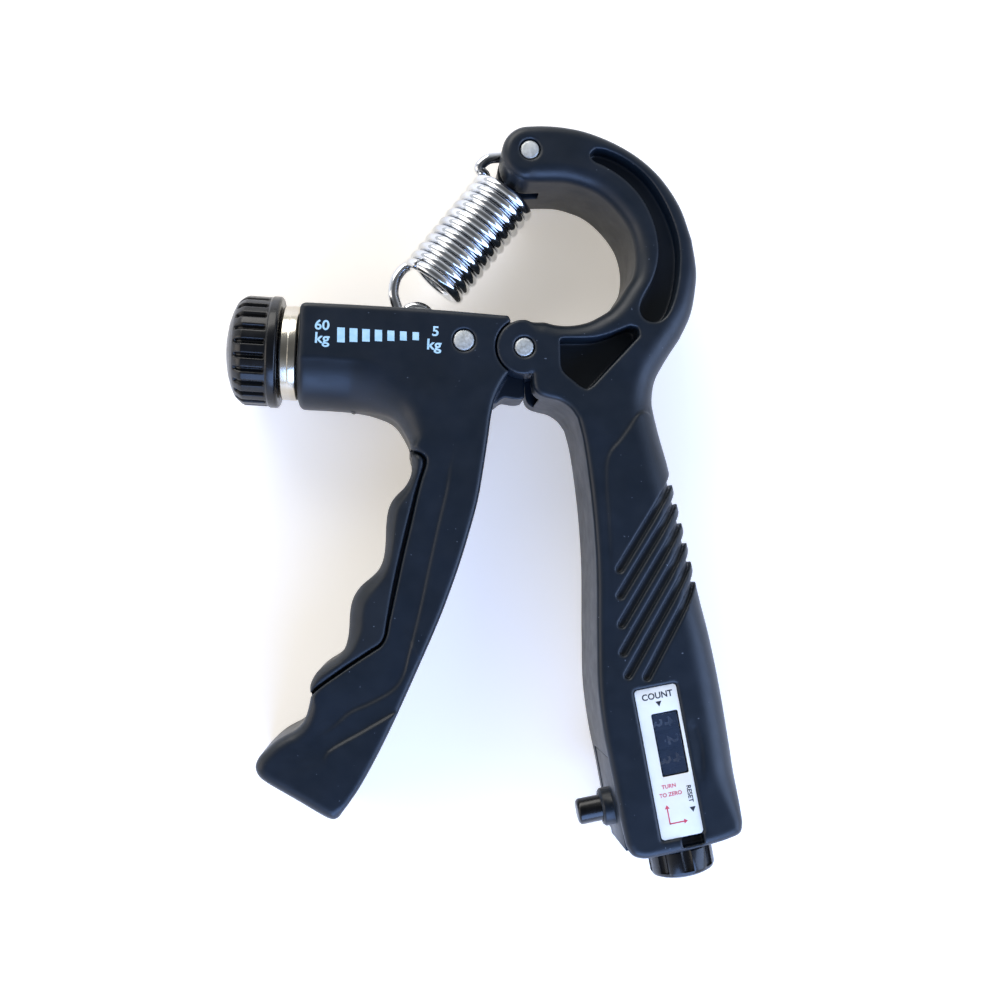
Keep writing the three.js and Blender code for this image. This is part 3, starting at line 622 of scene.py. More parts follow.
def counter_hollows(x, y, z):
    """The label seat, window, latch notch, door, bearing and the room behind them."""
    u, v = into(x, y, COUNTER, COUNTER_TURN)
    seat = brick(u, v, z, (-4.85, -16.2, HALF - 0.8), (4.85, 16.2, HALF + 3), 0.75)
    window = brick(u, v, z, (-1.9, -3, 9), (3.9, 10.4, HALF + 3), 0.4)
    room = brick(u, v, z, (-9.6, -16.6, -5), (10.6, 12.8, 9.9), 0.3)
    door = brick(u, v, z, (-16, -17.3, -8.2), (-9.5, 2.9, 10.2), 0.3)
    ledge = brick(u, v, z, (-9.7, -16.2, -5), (-9, 1.8, 9.9), 0.2)
    latch = brick(u, v, z, (-0.4, -18.2, HALF - 2.4), (4.4, -16.1, HALF + 1), 0.2)
    shaft = np.maximum(np.hypot(u - 0.5, z - 2.6) - 1.6, np.abs(v + 17.5) - 2.5)
    tools = [window, room, door, ledge, latch, shaft]
    hollow = seat
    for tool in tools:
        hollow = np.minimum(hollow, tool)
    return hollow


def main_shape(x, y, z):
    a = np.abs(z)
    face = HALF - line_step(panel_line, x, y, 0.35, 7.0, (0.04, 0.4))
    face = face - line_step(fold_line, x, y, 0.35, 3.0, (0.2, 0.3))
    body = rounded(main_plan(x, y), a - face, main_plan.edge(x, y))
    skin_depth = -(body + GROOVE_DEPTH)
    body = cut(body, soft_max(bow_pocket(x, y), HALF - BOW_POCKET_DEPTH - a, 0.5), 0.5)
    body = cut(body, soft_max(triangle(x, y), HALF - TRIANGLE_DEPTH - a, 0.5), 0.5)
    for start, end in GROOVES:
        run = np.array(end) - start
        end = np.array(end) + run / np.hypot(*run) * 4
        groove = capsule(x, y, start, end, GROOVE_RADIUS)
        body = cut(body, soft_max(groove, skin_depth, 0.3), 0.3)
    for cx, cy in (HINGE_PIN, SPRING_PIN):
        body = cut(body, np.hypot(x - cx, y - cy) - PIN_HOLE, 0.4)
    hook = np.minimum(np.hypot(x - 1.4, y - 42.6) - 6.4,
                      brick(x, y, 0 * x, (-9, 33, -1), (3.4, 51, 1)))
    body = cut(body, np.maximum(hook, a - 1.8), 0.3)
    body = cut(body, hinge_room(x, y, a), 0.25)
    return cut(body, counter_hollows(x, y, z), 0.2)


# %% Main handle piece
vertices, quads = skin(main_shape, (-6, -110, -13.1), (48.5, 50, 13.1))
make_piece("main_handle_shell", vertices, quads, nylon, "main_handle", ["main_handle"])
print("main handle:", len(quads), "faces")

# %% [markdown]
# ## The lever
# The lever is a barrel for the spring's screw that flows into a long curved handle. The
# barrel's section is a U: flat in front, behind and on top, and half round below. An edge
# rounding of 12 mm on its lower stroke, as large as half the thickness, gives just that.

# %% Lever plan
LEVER_LOW, LEVER_HIGH = (-62.0, -103.0), (6.0, 14.0)
LEVER_HALF = 12.44
BARREL_TOP = [(-59.0, 9.75), (-48.0, 9.15), (-37, 8.75), (-26.5, 8.3), (-15.9, 7.7),
              (-9.4, 7.25), (-3.4, 6.8)]
BARREL_UNDER = [(-59.0, -11.7), (-48.0, -12.15), (-41.9, -12.4), (-37.5, -12.7)]
BARREL_ROOT = [(-37.5, -12.7), (-33.1, -13.2), (-29.8, -14.1)]
THROAT = [(-29.8, -14.1), (-28.3, -14.8), (-27.1, -15.8), (-26.4, -16.7), (-25.4, -18.3),
          (-24.5, -20.1), (-24.0, -22.1)]
SEAM = [(-24.0, -22.1), (-22.2, -22.7), (-20.9, -23.9), (-20.9, -25.2), (-21.8, -28.2),
        (-22.8, -32), (-24.0, -37.4), (-25.7, -44.8), (-27.2, -52), (-28.5, -58.2),
        (-29.2, -61.6), (-30.2, -63.3), (-31.8, -64.4), (-34.9, -66.4), (-38.9, -69.1),
        (-42.7, -71.8), (-44.7, -73.7)]
FOOT = [(-44.7, -73.7), (-45.5, -77.1), (-46.3, -79.0), (-47.9, -80.6), (-50.2, -81.8),
        (-52.0, -82.9), (-53.8, -84.5), (-55.3, -86.1), (-55.95, -87.6), (-55.9, -88.8),
        (-55.1, -90.2), (-53.4, -91.5), (-50.9, -93), (-46.8, -95.4), (-42.7, -97.9),
        (-41, -98.8), (-40, -99.1), (-39, -98.8), (-38.1, -97.6)]
LEVER_INSIDE = [(-38.1, -97.6), (-36.5, -95.4), (-34.4, -92.3), (-30.4, -85), (-26.2, -76.3),
                (-22.1, -67.2), (-17.9, -57.5), (-15.8, -52), (-13.7, -46), (-11.6, -39.1),
                (-9.9, -32.7), (-8.7, -25.9), (-7.8, -20), (-7.0, -14.4), (-6.3, -11.4),
                (-5.2, -8.8), (-3.4, -5.6)]
lever_plan = Plan([(BARREL_TOP[::-1], 1.1), ([(-59.0, 9.75), (-59.0, -11.7)], 1.0),
                   (BARREL_UNDER, 12.0), (BARREL_ROOT, (12.0, 8.0)), (THROAT, (8.0, 3.0)),
                   (SEAM, (0.8, 0.4)), (FOOT, (2.2, 2.6)),
                   (LEVER_INSIDE, 1.3), ([(-3.4, -5.6), (-0.5, 0), (-3.4, 6.8)], 0.3)],
                  LEVER_LOW, LEVER_HIGH)
tongue_plan = Plan([([(-12, -12.2), (-5.4, -11.2)], 0), ([(-5.4, -11.2), (-4.6, -10.4),
                    (-3.6, -9.9)], 0), ([(-3.6, -9.9), (-1.1, -10.3), (0.7, -10.1)], 0),
                    ([(0.7, -10.1), (0.7, -5.15)], 0), (arc(0, 0, 5.2, -82.3, 79), 0),
                    ([(1, 5.1), (0.35, 5.2), (0.35, 6.5)], 0), ([(0.35, 6.5), (-12, 7.6)], 0),
                    ([(-12, 7.6), (-12, -12.2)], 0)], LEVER_LOW, LEVER_HIGH)
STEP_LINE = [(-14.4, -20.1), (-15.5, -24.4), (-16.5, -30.7), (-18, -37), (-20.1, -46.5),
             (-22.1, -55.9), (-24.4, -65.2), (-25.6, -69.7), (-27.3, -72.2), (-32.4, -75.2),
             (-36.5, -77.0), (-39.6, -79.6), (-44.3, -82.8)]
CHAMFER_LINE = [(-18.0, -71.8), (-26.8, -76.9), (-34, -81), (-41.0, -85.1), (-41.7, -86.5),
                (-41.4, -88.5)]
SEAM_FLOOR = [(-23.2, -23.0), (-21.7, -24.4), (-22.2, -28), (-24.6, -38), (-27.6, -52.3),
              (-29.3, -60.5), (-30.4, -63.2), (-34.0, -65.6), (-39.0, -68.9), (-43.4, -72.2)]
seam_floor = Plan([(SEAM_FLOOR, 0)], LEVER_LOW, LEVER_HIGH, closed=False)
step_line = Plan([(STEP_LINE, 0)], LEVER_LOW, LEVER_HIGH, closed=False)
chamfer_line = Plan([(CHAMFER_LINE, 0)], LEVER_LOW, LEVER_HIGH, closed=False)
print("lever plan grid", lever_plan.shape)

# %% Lever shape
BORE_RADIUS, BORE_END = 8.0, 32.4
RETAINING_PIN = (-12.9, 1.3)


def lever_holes(x, y, z):
    """The barrel's bore, the screw's bearing, the hook slot and the two rivet holes."""
    a = np.abs(z)
    s, t = into(x, y, BARREL, BARREL_TURN)
    ring = np.hypot(t, z)
    bore = np.maximum(ring - BORE_RADIUS, s - BORE_END)
    bearing = np.maximum(ring - 3.35, s - 38.2)
    slot = brick(s, t, z, (4.8, 0, -4.4), (29.6, 20, 4.4), 0.8)
    pin = np.hypot(x - RETAINING_PIN[0], y - RETAINING_PIN[1])
    rivet = np.minimum(pin - 1.9, np.maximum(pin - 2.5, 5.4 - a))
    hole = np.hypot(x, y) - PIN_HOLE
    result = bore
    for tool in (bearing, slot, rivet, hole):
        result = np.minimum(result, tool)
    return result


def lever_shape(x, y, z):
    a = np.abs(z)
    face = LEVER_HALF - line_step(step_line, x, y, 0.35, 6.0, (0.15, 0.15))
    face = face - line_step(chamfer_line, x, y, 0.5, 9.0, (0.02, 0.25))
    shell = rounded(lever_plan(x, y), a - face, lever_plan.edge(x, y))
    along, _ = into(x, y, BARREL, BARREL_TURN)
    end_face = np.where(y > -40, 0.1 - along, -20.0)
    shell = soft_max(shell, end_face, 1.6)
    ear = np.maximum(np.minimum(np.hypot(x, y) - EAR - 0.35, -x), 5.5 - a)
    shell = cut(shell, ear, 0.3)
    floor = np.maximum(np.abs(seam_floor(x, y)) - 1.0, a - 9.6)
    shell = np.minimum(shell, floor)
    tongue = rounded(tongue_plan(x, y), a - 5.5, 0.3)
    return cut(np.minimum(shell, tongue), lever_holes(x, y, z), 0.3)


vertices, quads = skin(lever_shape, (-57.5, -101, -13.1), (6.5, 10.5, 13.1))
make_piece("lever_shell", vertices, quads, nylon, "lever_handle", ["lever_handle"])
print("lever:", len(quads), "faces")

# %% [markdown]
# ## The finger grip
# A softer rubber is moulded over the lever's outer side, with three hollows for the
# fingers. Its outer edge is rounded by 4 mm, and a dark parting line of changing width
# stays open between it and the lever, widest in the middle.

# %% Finger grip
FINGERS = [(-44.9, -73.3), (-45.0, -71.6), (-44.5, -70.2), (-43.5, -68.7), (-41.9, -67.3),
           (-39.7, -65.9), (-38.1, -64.3), (-37.3, -62.1), (-37, -59.8), (-36.85, -56.6),
           (-36.4, -54.0), (-35.5, -52.1), (-34.2, -50.5), (-32.5, -49.1), (-31, -47.6),
           (-30.1, -45.9), (-29.6, -43.7), (-29.4, -41.0), (-29.3, -38), (-28.9, -34.9),
           (-28.1, -32.9), (-26.9, -31.4), (-25.4, -29.9), (-24.4, -28.2), (-23.9, -26.3),
           (-23.95, -22.6)]
GRIP_SEAM = [(-23.95, -22.6), (-22.5, -23.1), (-21.6, -24.0), (-21.5, -25.2), (-22.4, -28.4),
             (-23.5, -32.2), (-24.9, -37.8), (-26.6, -45.2), (-28.1, -52.3), (-29.1, -58.2),
             (-29.7, -61.5), (-30.6, -62.9), (-32.2, -63.9), (-35.2, -65.9), (-39.2, -68.6),
             (-43.0, -71.4), (-44.9, -73.3)]
grip_plan = Plan([(FINGERS, 4.0), (GRIP_SEAM, 0.5)], LEVER_LOW, LEVER_HIGH)


def grip_shape(x, y, z):
    return rounded(grip_plan(x, y), np.abs(z) - 12.3, grip_plan.edge(x, y))


vertices, quads = skin(grip_shape, (-46.5, -75, -13.1), (-20, -21, 13.1))
make_piece("finger_grip_rubber", vertices, quads, soft_grip, "lever_handle", ["finger_grip"])
print("finger grip:", len(quads), "faces")

# %% [markdown]
# ## Turned pieces
# Rivets, collar, knob and screw are round. One function spins a profile about an
# axis, and may push the radius in or out with the angle, which gives flutes and threads
# without any cutting.

# %% Turning helper
def spin(profile, frame_of, sides=96, change=None):
    """Vertices and quads of a profile of (along, radius) spun about its axis."""
    angles = np.linspace(0, 2 * math.pi, sides, endpoint=False)
    rows = []
    for along, radius in profile:
        r = radius + (change(along, radius, angles) if change else 0 * angles)
        rows.append(frame_of(along + 0 * angles, r * np.cos(angles), r * np.sin(angles)))
    vertices = np.vstack([np.stack(row, 1) for row in rows])
    quads = []
    for i in range(len(profile) - 1):
        for k in range(sides):
            n = (k + 1) % sides
            quads.append((i * sides + k, i * sides + n, (i + 1) * sides + n, (i + 1) * sides + k))
    quads.append(tuple(range(sides))[::-1])
    quads.append(tuple(range((len(profile) - 1) * sides, len(profile) * sides)))
    return vertices, quads


def soften(profile, radius=0.25, steps=3):
    """Rounds the corners of a profile, as a tool or a mould does."""
    out = [profile[0]]
    for before, here, after in zip(profile, profile[1:], profile[2:]):
        a, p, b = (np.array(v, float) for v in (before, here, after))
        back, on = np.hypot(*(a - p)), np.hypot(*(b - p))
        r = min(radius, back / 2.2, on / 2.2)
        start, end = p + (a - p) / back * r, p + (b - p) / on * r
        for t in np.linspace(0, 1, steps + 1):
            out.append(tuple((1 - t) ** 2 * start + 2 * t * (1 - t) * p + t * t * end))
    return out + [profile[-1]]


def across(x, y):
    """Axes for a piece that stands through the handle at x, y."""
    return lambda along, a, b: (x + a, y + b, along)


def along_barrel(along, a, b):
    x, y = out_of(along, a, BARREL, BARREL_TURN)
    return x, y, b


def turn(name, profile, frame_of, material, body, stands_for=(), sides=96, change=None,
         edge=0.25):
    vertices, faces = spin(soften(profile, edge), frame_of, sides, change)
    piece = make_piece(name, vertices, faces, material, body, stands_for)
    bm = bmesh.new()
    bm.from_mesh(piece.data)
    bmesh.ops.recalc_face_normals(bm, faces=bm.faces)
    bm.to_mesh(piece.data)
    bm.free()
    return piece


# %% [markdown]
# ## Rivets
# The three pins are aluminium rivets. Pressing leaves a very low dome with a rounded rim,
# and the end stands in a slightly larger hole, which draws a dark ring round it.

# %% Rivets
def rivet(name, x, y, radius, half):
    end = [(half, 0.2), (half - 0.02, radius * 0.4), (half - 0.07, radius * 0.75),
           (half - 0.14, radius - 0.25), (half - 0.35, radius)]
    profile = [(-s, r) for s, r in end] + end[::-1]
    turn(name, profile, across(x, y), rivet_alloy, "main_handle",
         [name.replace("_rivet", "")], sides=64, edge=0.2)


rivet("pivot_pin_rivet", *HINGE_PIN, 2.1, 12.2)
rivet("spring_pin_rivet", *SPRING_PIN, 2.1, 12.2)
print("rivets turned")

# %% Retaining rivet
turn("retaining_pin_rivet", [(-12.2, 0.2), (-12.18, 1.0), (-12.12, 1.7), (-12.06, 2.05),
     (-11.85, 2.3), (-6, 2.3), (-6, 1.6), (6, 1.6), (6, 2.3), (11.85, 2.3), (12.06, 2.05),
     (12.12, 1.7), (12.18, 1.0), (12.2, 0.2)], across(*RETAINING_PIN), rivet_alloy,
     "lever_handle", ["retaining_pin"], sides=64, edge=0.15)
print("retaining rivet turned")

# %% [markdown]
# ## Collar, knob and screw
# A nickel-plated ring closes the barrel. The knob is polished black ABS: a smooth rim, a
# band of 24 axial flutes, and a shallow dome. The screw inside has a real helical thread,
# which costs nothing here because the radius may change with the angle.

# %% Collar
turn("nickel_collar", [(3.2, 7.7), (-0.3, 7.7), (-0.3, 10.1), (-0.6, 10.38), (-2.0, 10.38),
     (-2.2, 10.3), (-3.6, 10.3), (-4.0, 10.0), (-4.0, 4.0),
     (-3.4, 4.0)], along_barrel, nickel, "lever_handle",
     ["steel_collar"], sides=128, edge=0.12)


# %% Knob
KNOB, FLUTES = 12.2, 24


def flutes(along, radius, angles):
    """24 rounded channels in the band between the rim and the dome."""
    band = smooth_step(along, -13.6, -12.6) * (1 - smooth_step(along, -7.2, -6.7))
    wave = np.abs((angles * FLUTES / (2 * math.pi)) % 1 - 0.5) * 2
    return -band * smooth_step(wave, 0.56, 0.86)


rows = [(s, KNOB - 0.25) for s in np.arange(-6.7, -11.8, -0.25)]
knob_profile = [(-4.3, 3.2), (-4.3, KNOB - 0.5), (-4.7, KNOB), (-6.3, KNOB),
                (-6.6, KNOB - 0.25)] + rows + \
               [(-12.2, KNOB - 0.45), (-12.6, KNOB - 0.7), (-13.0, KNOB - 1.0),
                (-13.4, KNOB - 1.35), (-13.8, KNOB - 1.8), (-14.5, KNOB - 3.2),
                (-15.2, KNOB - 5.2), (-15.8, KNOB - 8.0), (-16.15, 1.5), (-16.2, 0.2)]
turn("knob_grip", knob_profile, along_barrel, gloss_abs, "adjust_knob", ["adjust_knob"],
     sides=384, change=flutes, edge=0.2)
print("knob turned")

# %% Lead screw
PITCH = 1.5


def thread(along, radius, angles):
    """The thread's groove on the stretch inside the barrel."""
    phase = (along / PITCH + angles / (2 * math.pi)) % 1
    ridge = smooth_step(np.abs(phase - 0.5) * 2, 0.25, 0.75)
    inside = smooth_step(along, 4, 4.6) * (1 - smooth_step(along, 30.6, 31.2))
    return -0.55 * ridge * inside


screw_profile = [(-9.8, 0.3), (-9.8, 2.95)] + [(s, 2.95) for s in np.arange(-9, 31.4, 0.18)] + \
                [(32, 2.95), (37.4, 2.95), (37.7, 2.6), (37.7, 0.3)]
turn("lead_screw_thread", screw_profile, along_barrel, zinc, "adjust_knob", ["lead_screw"],
     sides=48, change=thread, edge=0.05)
print("screw turned")

# %% [markdown]
# ## The spring
# One chromed wire makes eleven close turns and ends in a hook at each end. It really
# stretches. It is drawn as two pieces, both on no moving body: the coil with its upper hook,
# from the main handle to the lever, and the lower hook, from the lever on to the sliding
# nut. A tube is swept along the wire's centre line.

# %% Wire helper
def sweep(name, path, radius, material, sides=20):
    """A round wire along a path, with closed rounded ends."""
    p = np.array(path, float)
    tangent = np.gradient(p, axis=0)
    tangent /= np.linalg.norm(tangent, axis=1)[:, None]
    side = np.cross(tangent[0], (0.3, 0.2, 0.93))
    rings = []
    sizes = np.full(len(p), float(radius))
    sizes[0] = sizes[-1] = radius * 0.55
    for point, along, r in zip(p, tangent, sizes):
        side = side - along * side.dot(along)
        side /= np.linalg.norm(side)
        other = np.cross(along, side)
        a = np.linspace(0, 2 * math.pi, sides, endpoint=False)[:, None]
        rings.append(point + r * (np.cos(a) * side + np.sin(a) * other))
    vertices = np.vstack(rings)
    faces = []
    for i in range(len(p) - 1):
        for k in range(sides):
            n = (k + 1) % sides
            faces.append((i * sides + k, i * sides + n, (i + 1) * sides + n, (i + 1) * sides + k))
    faces.append(tuple(range(sides))[::-1])
    faces.append(tuple(range((len(p) - 1) * sides, len(p) * sides)))
    return make_piece(name, vertices, faces, material, None)


def smooth_path(points, count):
    """A smooth path in space through points, evenly sampled."""
    p = np.array(points, float)
    t = np.concatenate([[0], np.cumsum(np.linalg.norm(np.diff(p, axis=0), axis=1) ** 0.5)])
    p = np.vstack([2 * p[0] - p[1], p, 2 * p[-1] - p[-2]])
    t = np.concatenate([[2 * t[0] - t[1]], t, [2 * t[-1] - t[-2]]])
    out = []
    for value in np.linspace(t[1], t[-2] - 1e-9, count):
        i = min(max(np.searchsorted(t, value, side="right") - 1, 1), len(p) - 3)
        a, b, c, d = p[i - 1:i + 3]
        ta, tb, tc, td = t[i - 1:i + 3]
        ab = a + (b - a) * (value - ta) / (tb - ta)
        bc = b + (c - b) * (value - tb) / (tc - tb)
        cd = c + (d - c) * (value - tc) / (td - tc)
        abc = ab + (bc - ab) * (value - ta) / (tc - ta)
        bcd = bc + (cd - bc) * (value - tb) / (td - tb)
        out.append(abc + (bcd - abc) * (value - tb) / (tc - tb))
    return out


# %% Spring
WIRE, COIL, COILS, STEPS = 1.2, 6.5, 11, 14      # radii in mm, turns, points in a turn
TIP = np.array([*SPRING_PIN, 0])
LOW_HOOK = np.array([*out_of(24.7, 8.6, BARREL, BARREL_TURN), 0])
START, END = np.array([-19.5, 16.3, 0]), np.array([-2.6, 37.3, 0])
axis = (END - START) / np.linalg.norm(END - START)
sideways, up = np.array([-axis[1], axis[0], 0]), np.array([0, 0, 1])


def hook(centre, radius, start, end):
    angles = np.radians(np.arange(start, end, -23 if end < start else 23))
    return [centre + radius * np.array([math.cos(a), math.sin(a), 0]) for a in angles]


turns = []
for i in range(COILS * STEPS + 1):
    a = 2 * math.pi * COILS * i / (COILS * STEPS)
    turns.append(START + axis * np.linalg.norm(END - START) * i / (COILS * STEPS)
                 + COIL * (math.cos(a) * sideways + math.sin(a) * up))
lower = [LOW_HOOK + (3.35 + 0.3 * math.sin(a)) * np.array([math.cos(a), math.sin(a), 0])
         for a in np.radians(np.arange(130, -185, -22))]
lower += [np.array(p) for p in ((-27.2, 10.8, 0.3), (-28.0, 13.7, 0.8), (-27.5, 16.9, 0.8),
                                (-26.0, 19.3, 0.3))]
upper = [np.array(p) for p in ((-8.9, 42.6, 0.9), (-7.0, 44.6, 1.0), (-4.2, 45.4, 0.2))]
upper += hook(TIP, 3.6, 125, -101)
whole = smooth_path(lower + turns + upper, 1500)
split = int(np.argmin([np.linalg.norm(p - turns[2]) for p in whole]))
coil = sweep("spring_coil", whole[split:], WIRE, chrome)
tail = sweep("spring_lower_hook", whole[:split + 1], WIRE, chrome)
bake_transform(coil)
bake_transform(tail)
for piece in (coil, tail):
    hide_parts("tension_spring")
print("spring:", len(whole), "steps of wire")

# %% [markdown]
# ## Small moulded pieces
# The side cover, button, reset knob, label card and the counter's inner parts already
# have the right shape in the frame. What a mould or a die adds is a small radius on every
# edge, so a copy of each is bevelled, and it stands for the simple solid.

# %% Bevelled copies
def eased(node, name, material, width=0.18, segments=2, angle=28):
    """A copy of a frame solid with eased edges, riding on the same body."""
    source = frame["nodes"][node]
    piece = source.copy()
    piece.data = source.data.copy()
    piece.name = piece.data.name = name
    if "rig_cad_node" in piece:
        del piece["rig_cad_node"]
    body = source["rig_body"]
    piece.parent = None
    bpy.context.scene.collection.objects.link(piece)
    bm = bmesh.new()
    bm.from_mesh(piece.data)
    bmesh.ops.remove_doubles(bm, verts=bm.verts, dist=1e-6)
    bmesh.ops.dissolve_limit(bm, angle_limit=math.radians(1), verts=bm.verts, edges=bm.edges)
    bm.to_mesh(piece.data)
    bm.free()
    piece.data.shade_smooth()
    bevel = piece.modifiers.new("eased edges", "BEVEL")
    bevel.width, bevel.segments = width * MM, segments
    bevel.limit_method, bevel.angle_limit = "ANGLE", math.radians(angle)
    bevel.harden_normals = True
    return dress(piece, material, body, [node])


EASED = [
    ("side_cover", "side_cover_moulding", nylon, 0.3),
    ("counter_case", "counter_tray", acetal, 0.15),
    ("counter_label", "label_plate", label_stock, 0.08),
    ("counter_window", "window_lens", lens, 0.12),
    ("count_button", "count_button_cap", gloss_abs, 0.25),
    ("reset_knob", "reset_knob_cap", gloss_abs, 0.3),
    ("counter_shaft", "counter_shaft_pin", zinc, 0.1),
    ("pinion_shaft", "pinion_shaft_pin", zinc, 0.1),
    ("units_wheel", "units_wheel_drum", wheel_plastic, 0.1),
    ("tens_wheel", "tens_wheel_drum", wheel_plastic, 0.1),
    ("hundreds_wheel", "hundreds_wheel_drum", wheel_plastic, 0.1),
    ("transfer_pinion_tens", "tens_pinion_gear", acetal, 0.06),
    ("transfer_pinion_hundreds", "hundreds_pinion_gear", acetal, 0.06),
    ("slider_nut", "slider_nut_block", zinc, 0.2),
    ("hook_pin", "hook_pin_rod", zinc, 0.12),
]
for node, name, material, width in EASED:
    eased(node, name, material, width)
print(len(EASED), "eased pieces")

# %% Button spring
# The button's travel is 4.0 mm and this spring is 4.4 mm long, so at full press it would be
# flatter than its own turns could stack. It is drawn here at rest only.
SPRING_V, SPRING_LOW, SPRING_HIGH, SPRING_TURNS = -9.1, -8.05, -3.65, 5
SPRING_COIL, SPRING_WIRE = 2.2, 0.2
bends = []
for step in np.linspace(0, 1, SPRING_TURNS * 20 + 1):
    a = 2 * math.pi * SPRING_TURNS * step
    u = SPRING_LOW + 0.2 + (SPRING_HIGH - SPRING_LOW - 0.4) * step
    bends.append((*out_of(u, SPRING_V + SPRING_COIL * math.cos(a), COUNTER, COUNTER_TURN),
                  SPRING_COIL * math.sin(a)))
return_spring = sweep("button_return_spring", bends, SPRING_WIRE, zinc, 10)
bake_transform(return_spring)
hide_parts("button_spring")

# %% [markdown]
# ## Printing
# Letters and marks are thin inked shapes just proud of the surface. Text is made with
# Blender's own font, turned into a mesh, scaled to its real height, and laid on the face.
# Only plain words of use are printed: numbers, kg, COUNT, RESET and a turning arrow.

# %% Ink helpers
def text_shape(words, height, weight=0.02):
    """Points and faces of words, centred, with capitals of the given height."""
    curve = bpy.data.curves.new("words", "FONT")
    curve.body, curve.size, curve.offset = words, 1.0, weight
    curve.align_x = curve.align_y = "CENTER"
    curve.resolution_u = 4
    holder = bpy.data.objects.new("words", curve)
    bpy.context.scene.collection.objects.link(holder)
    bpy.context.view_layer.update()
    mesh = bpy.data.meshes.new_from_object(
        holder.evaluated_get(bpy.context.evaluated_depsgraph_get()))
    points = np.array([v.co[:2] for v in mesh.vertices])
    faces = [tuple(p.vertices) for p in mesh.polygons]
    bpy.data.objects.remove(holder)
    bpy.data.meshes.remove(mesh)
    middle = (points.min(0) + points.max(0)) / 2
    points = points - middle
    return points * height / 0.7, faces


def lay(points, at, turn_degrees, z, centre=(0, 0), tilt=0.0, squeeze=1.0):
    """Places flat points on a face at a height z, turned about their middle."""
    a = math.radians(turn_degrees)
    px, py = points[:, 0] * squeeze, points[:, 1]
    u = at[0] + px * math.cos(a) - py * math.sin(a)
    v = at[1] + px * math.sin(a) + py * math.cos(a)
    x, y = out_of(u, v, centre, tilt)
    return np.stack([x, y, np.full(len(points), z)], 1)


def gather(groups):
    """One bmesh from several groups of points and faces, in the frame."""
    bm = bmesh.new()
    for points, faces in groups:
        verts = [bm.verts.new(p) for p in to_frame(points)]
        for face in faces:
            try:
                bm.faces.new([verts[i] for i in face])
            except ValueError:      # a face that repeats another's points
                pass
    return bm


def ink(name, groups, material, body, thick=0.025):
    """One thin inked piece from several flat groups of points and faces."""
    bm = gather(groups)
    bm.normal_update()
    for face in bm.faces:
        if face.normal.z < 0:
            face.normal_flip()
    top = bmesh.ops.extrude_face_region(bm, geom=bm.faces[:])
    moved = [g for g in top["geom"] if isinstance(g, bmesh.types.BMVert)]
    bmesh.ops.translate(bm, vec=(0, 0, thick * MM), verts=moved)
    bmesh.ops.recalc_face_normals(bm, faces=bm.faces)
    mesh = bpy.data.meshes.new(name)
    bm.to_mesh(mesh)
    bm.free()
    return dress(bpy.data.objects.new(name, mesh), material, body)


def patch(corners):
    """A flat polygon for a bar or an arrow head."""
    return np.array(corners, float), [tuple(range(len(corners)))]


# %% Barrel scale
BARREL_INK = LEVER_HALF + 0.003
scale = []
for words, at, height in (("60", (-42.8, 4.1), 2.05), ("kg", (-42.75, 0.95), 2.25),
                          ("5", (-18.95, 3.05), 2.05), ("kg", (-19.2, -0.15), 2.25)):
    points, faces = text_shape(words, height)
    scale.append((lay(points, at, -3.1, BARREL_INK, squeeze=1.08), faces))
for i in range(7):
    x, top, low = -38.85 + 2.62 * i, 3.6 - 0.13 * i, 0.45 + 0.11 * i
    wide = 0.86 - 0.03 * i if i else 0.8
    bar, faces = patch([(x - wide, low), (x + wide, low - 0.06), (x + wide, top - 0.06),
                        (x - wide, top)])
    scale.append((np.column_stack([bar, np.full(4, BARREL_INK)]), faces))
ink("barrel_scale_print", scale, pale_ink, "lever_handle")
print("barrel scale printed")

# %% Label print
LABEL_INK = HALF - 0.445


def on_label(points, at, turn_degrees):
    return lay(points, at, turn_degrees, LABEL_INK, COUNTER, COUNTER_TURN)


black, red = [], []
for words, at, height, angle, group in (
        ("COUNT", (0.2, 14.1), 1.3, 0, black), ("RESET", (3.2, -7.4), 0.95, -90, black),
        ("TURN", (-1.0, -5.0), 0.8, 0, red), ("TO ZERO", (-0.9, -6.7), 0.8, 0, red)):
    points, faces = text_shape(words, height)
    group.append((on_label(points, at, angle), faces))
arrow, faces = patch([(-0.65, 0.45), (0.65, 0.45), (0, -0.65)])
black.append((on_label(arrow, (0.2, 12.4), 0), faces))
black.append((on_label(arrow, (3.2, -10.6), 0), faces))
for corners in ([(-2.3, -12.9), (0.9, -12.9), (0.9, -12.65), (-2.3, -12.65)],
                [(-2.3, -12.9), (-2.05, -12.9), (-2.05, -9.6), (-2.3, -9.6)],
                [(0.9, -13.3), (1.7, -12.78), (0.9, -12.25)],
                [(-2.7, -9.6), (-1.65, -9.6), (-2.17, -8.8)]):
    bar, faces = patch(corners)
    red.append((on_label(bar, (0, 0), 0), faces))
ink("label_black_print", black, black_ink, "main_handle", 0.02)
ink("label_red_print", red, red_ink, "main_handle", 0.02)
print("label printed")

# %% [markdown]
# ## Numerals on the wheels
# Each wheel carries the ten digits round its rim. A digit is drawn flat and then wrapped:
# its height becomes an angle about the counter's shaft, and its width runs along it.

# %% Numerals
SHAFT_U, SHAFT_Z, WHEEL_R = 0.5, 2.6, 5.5


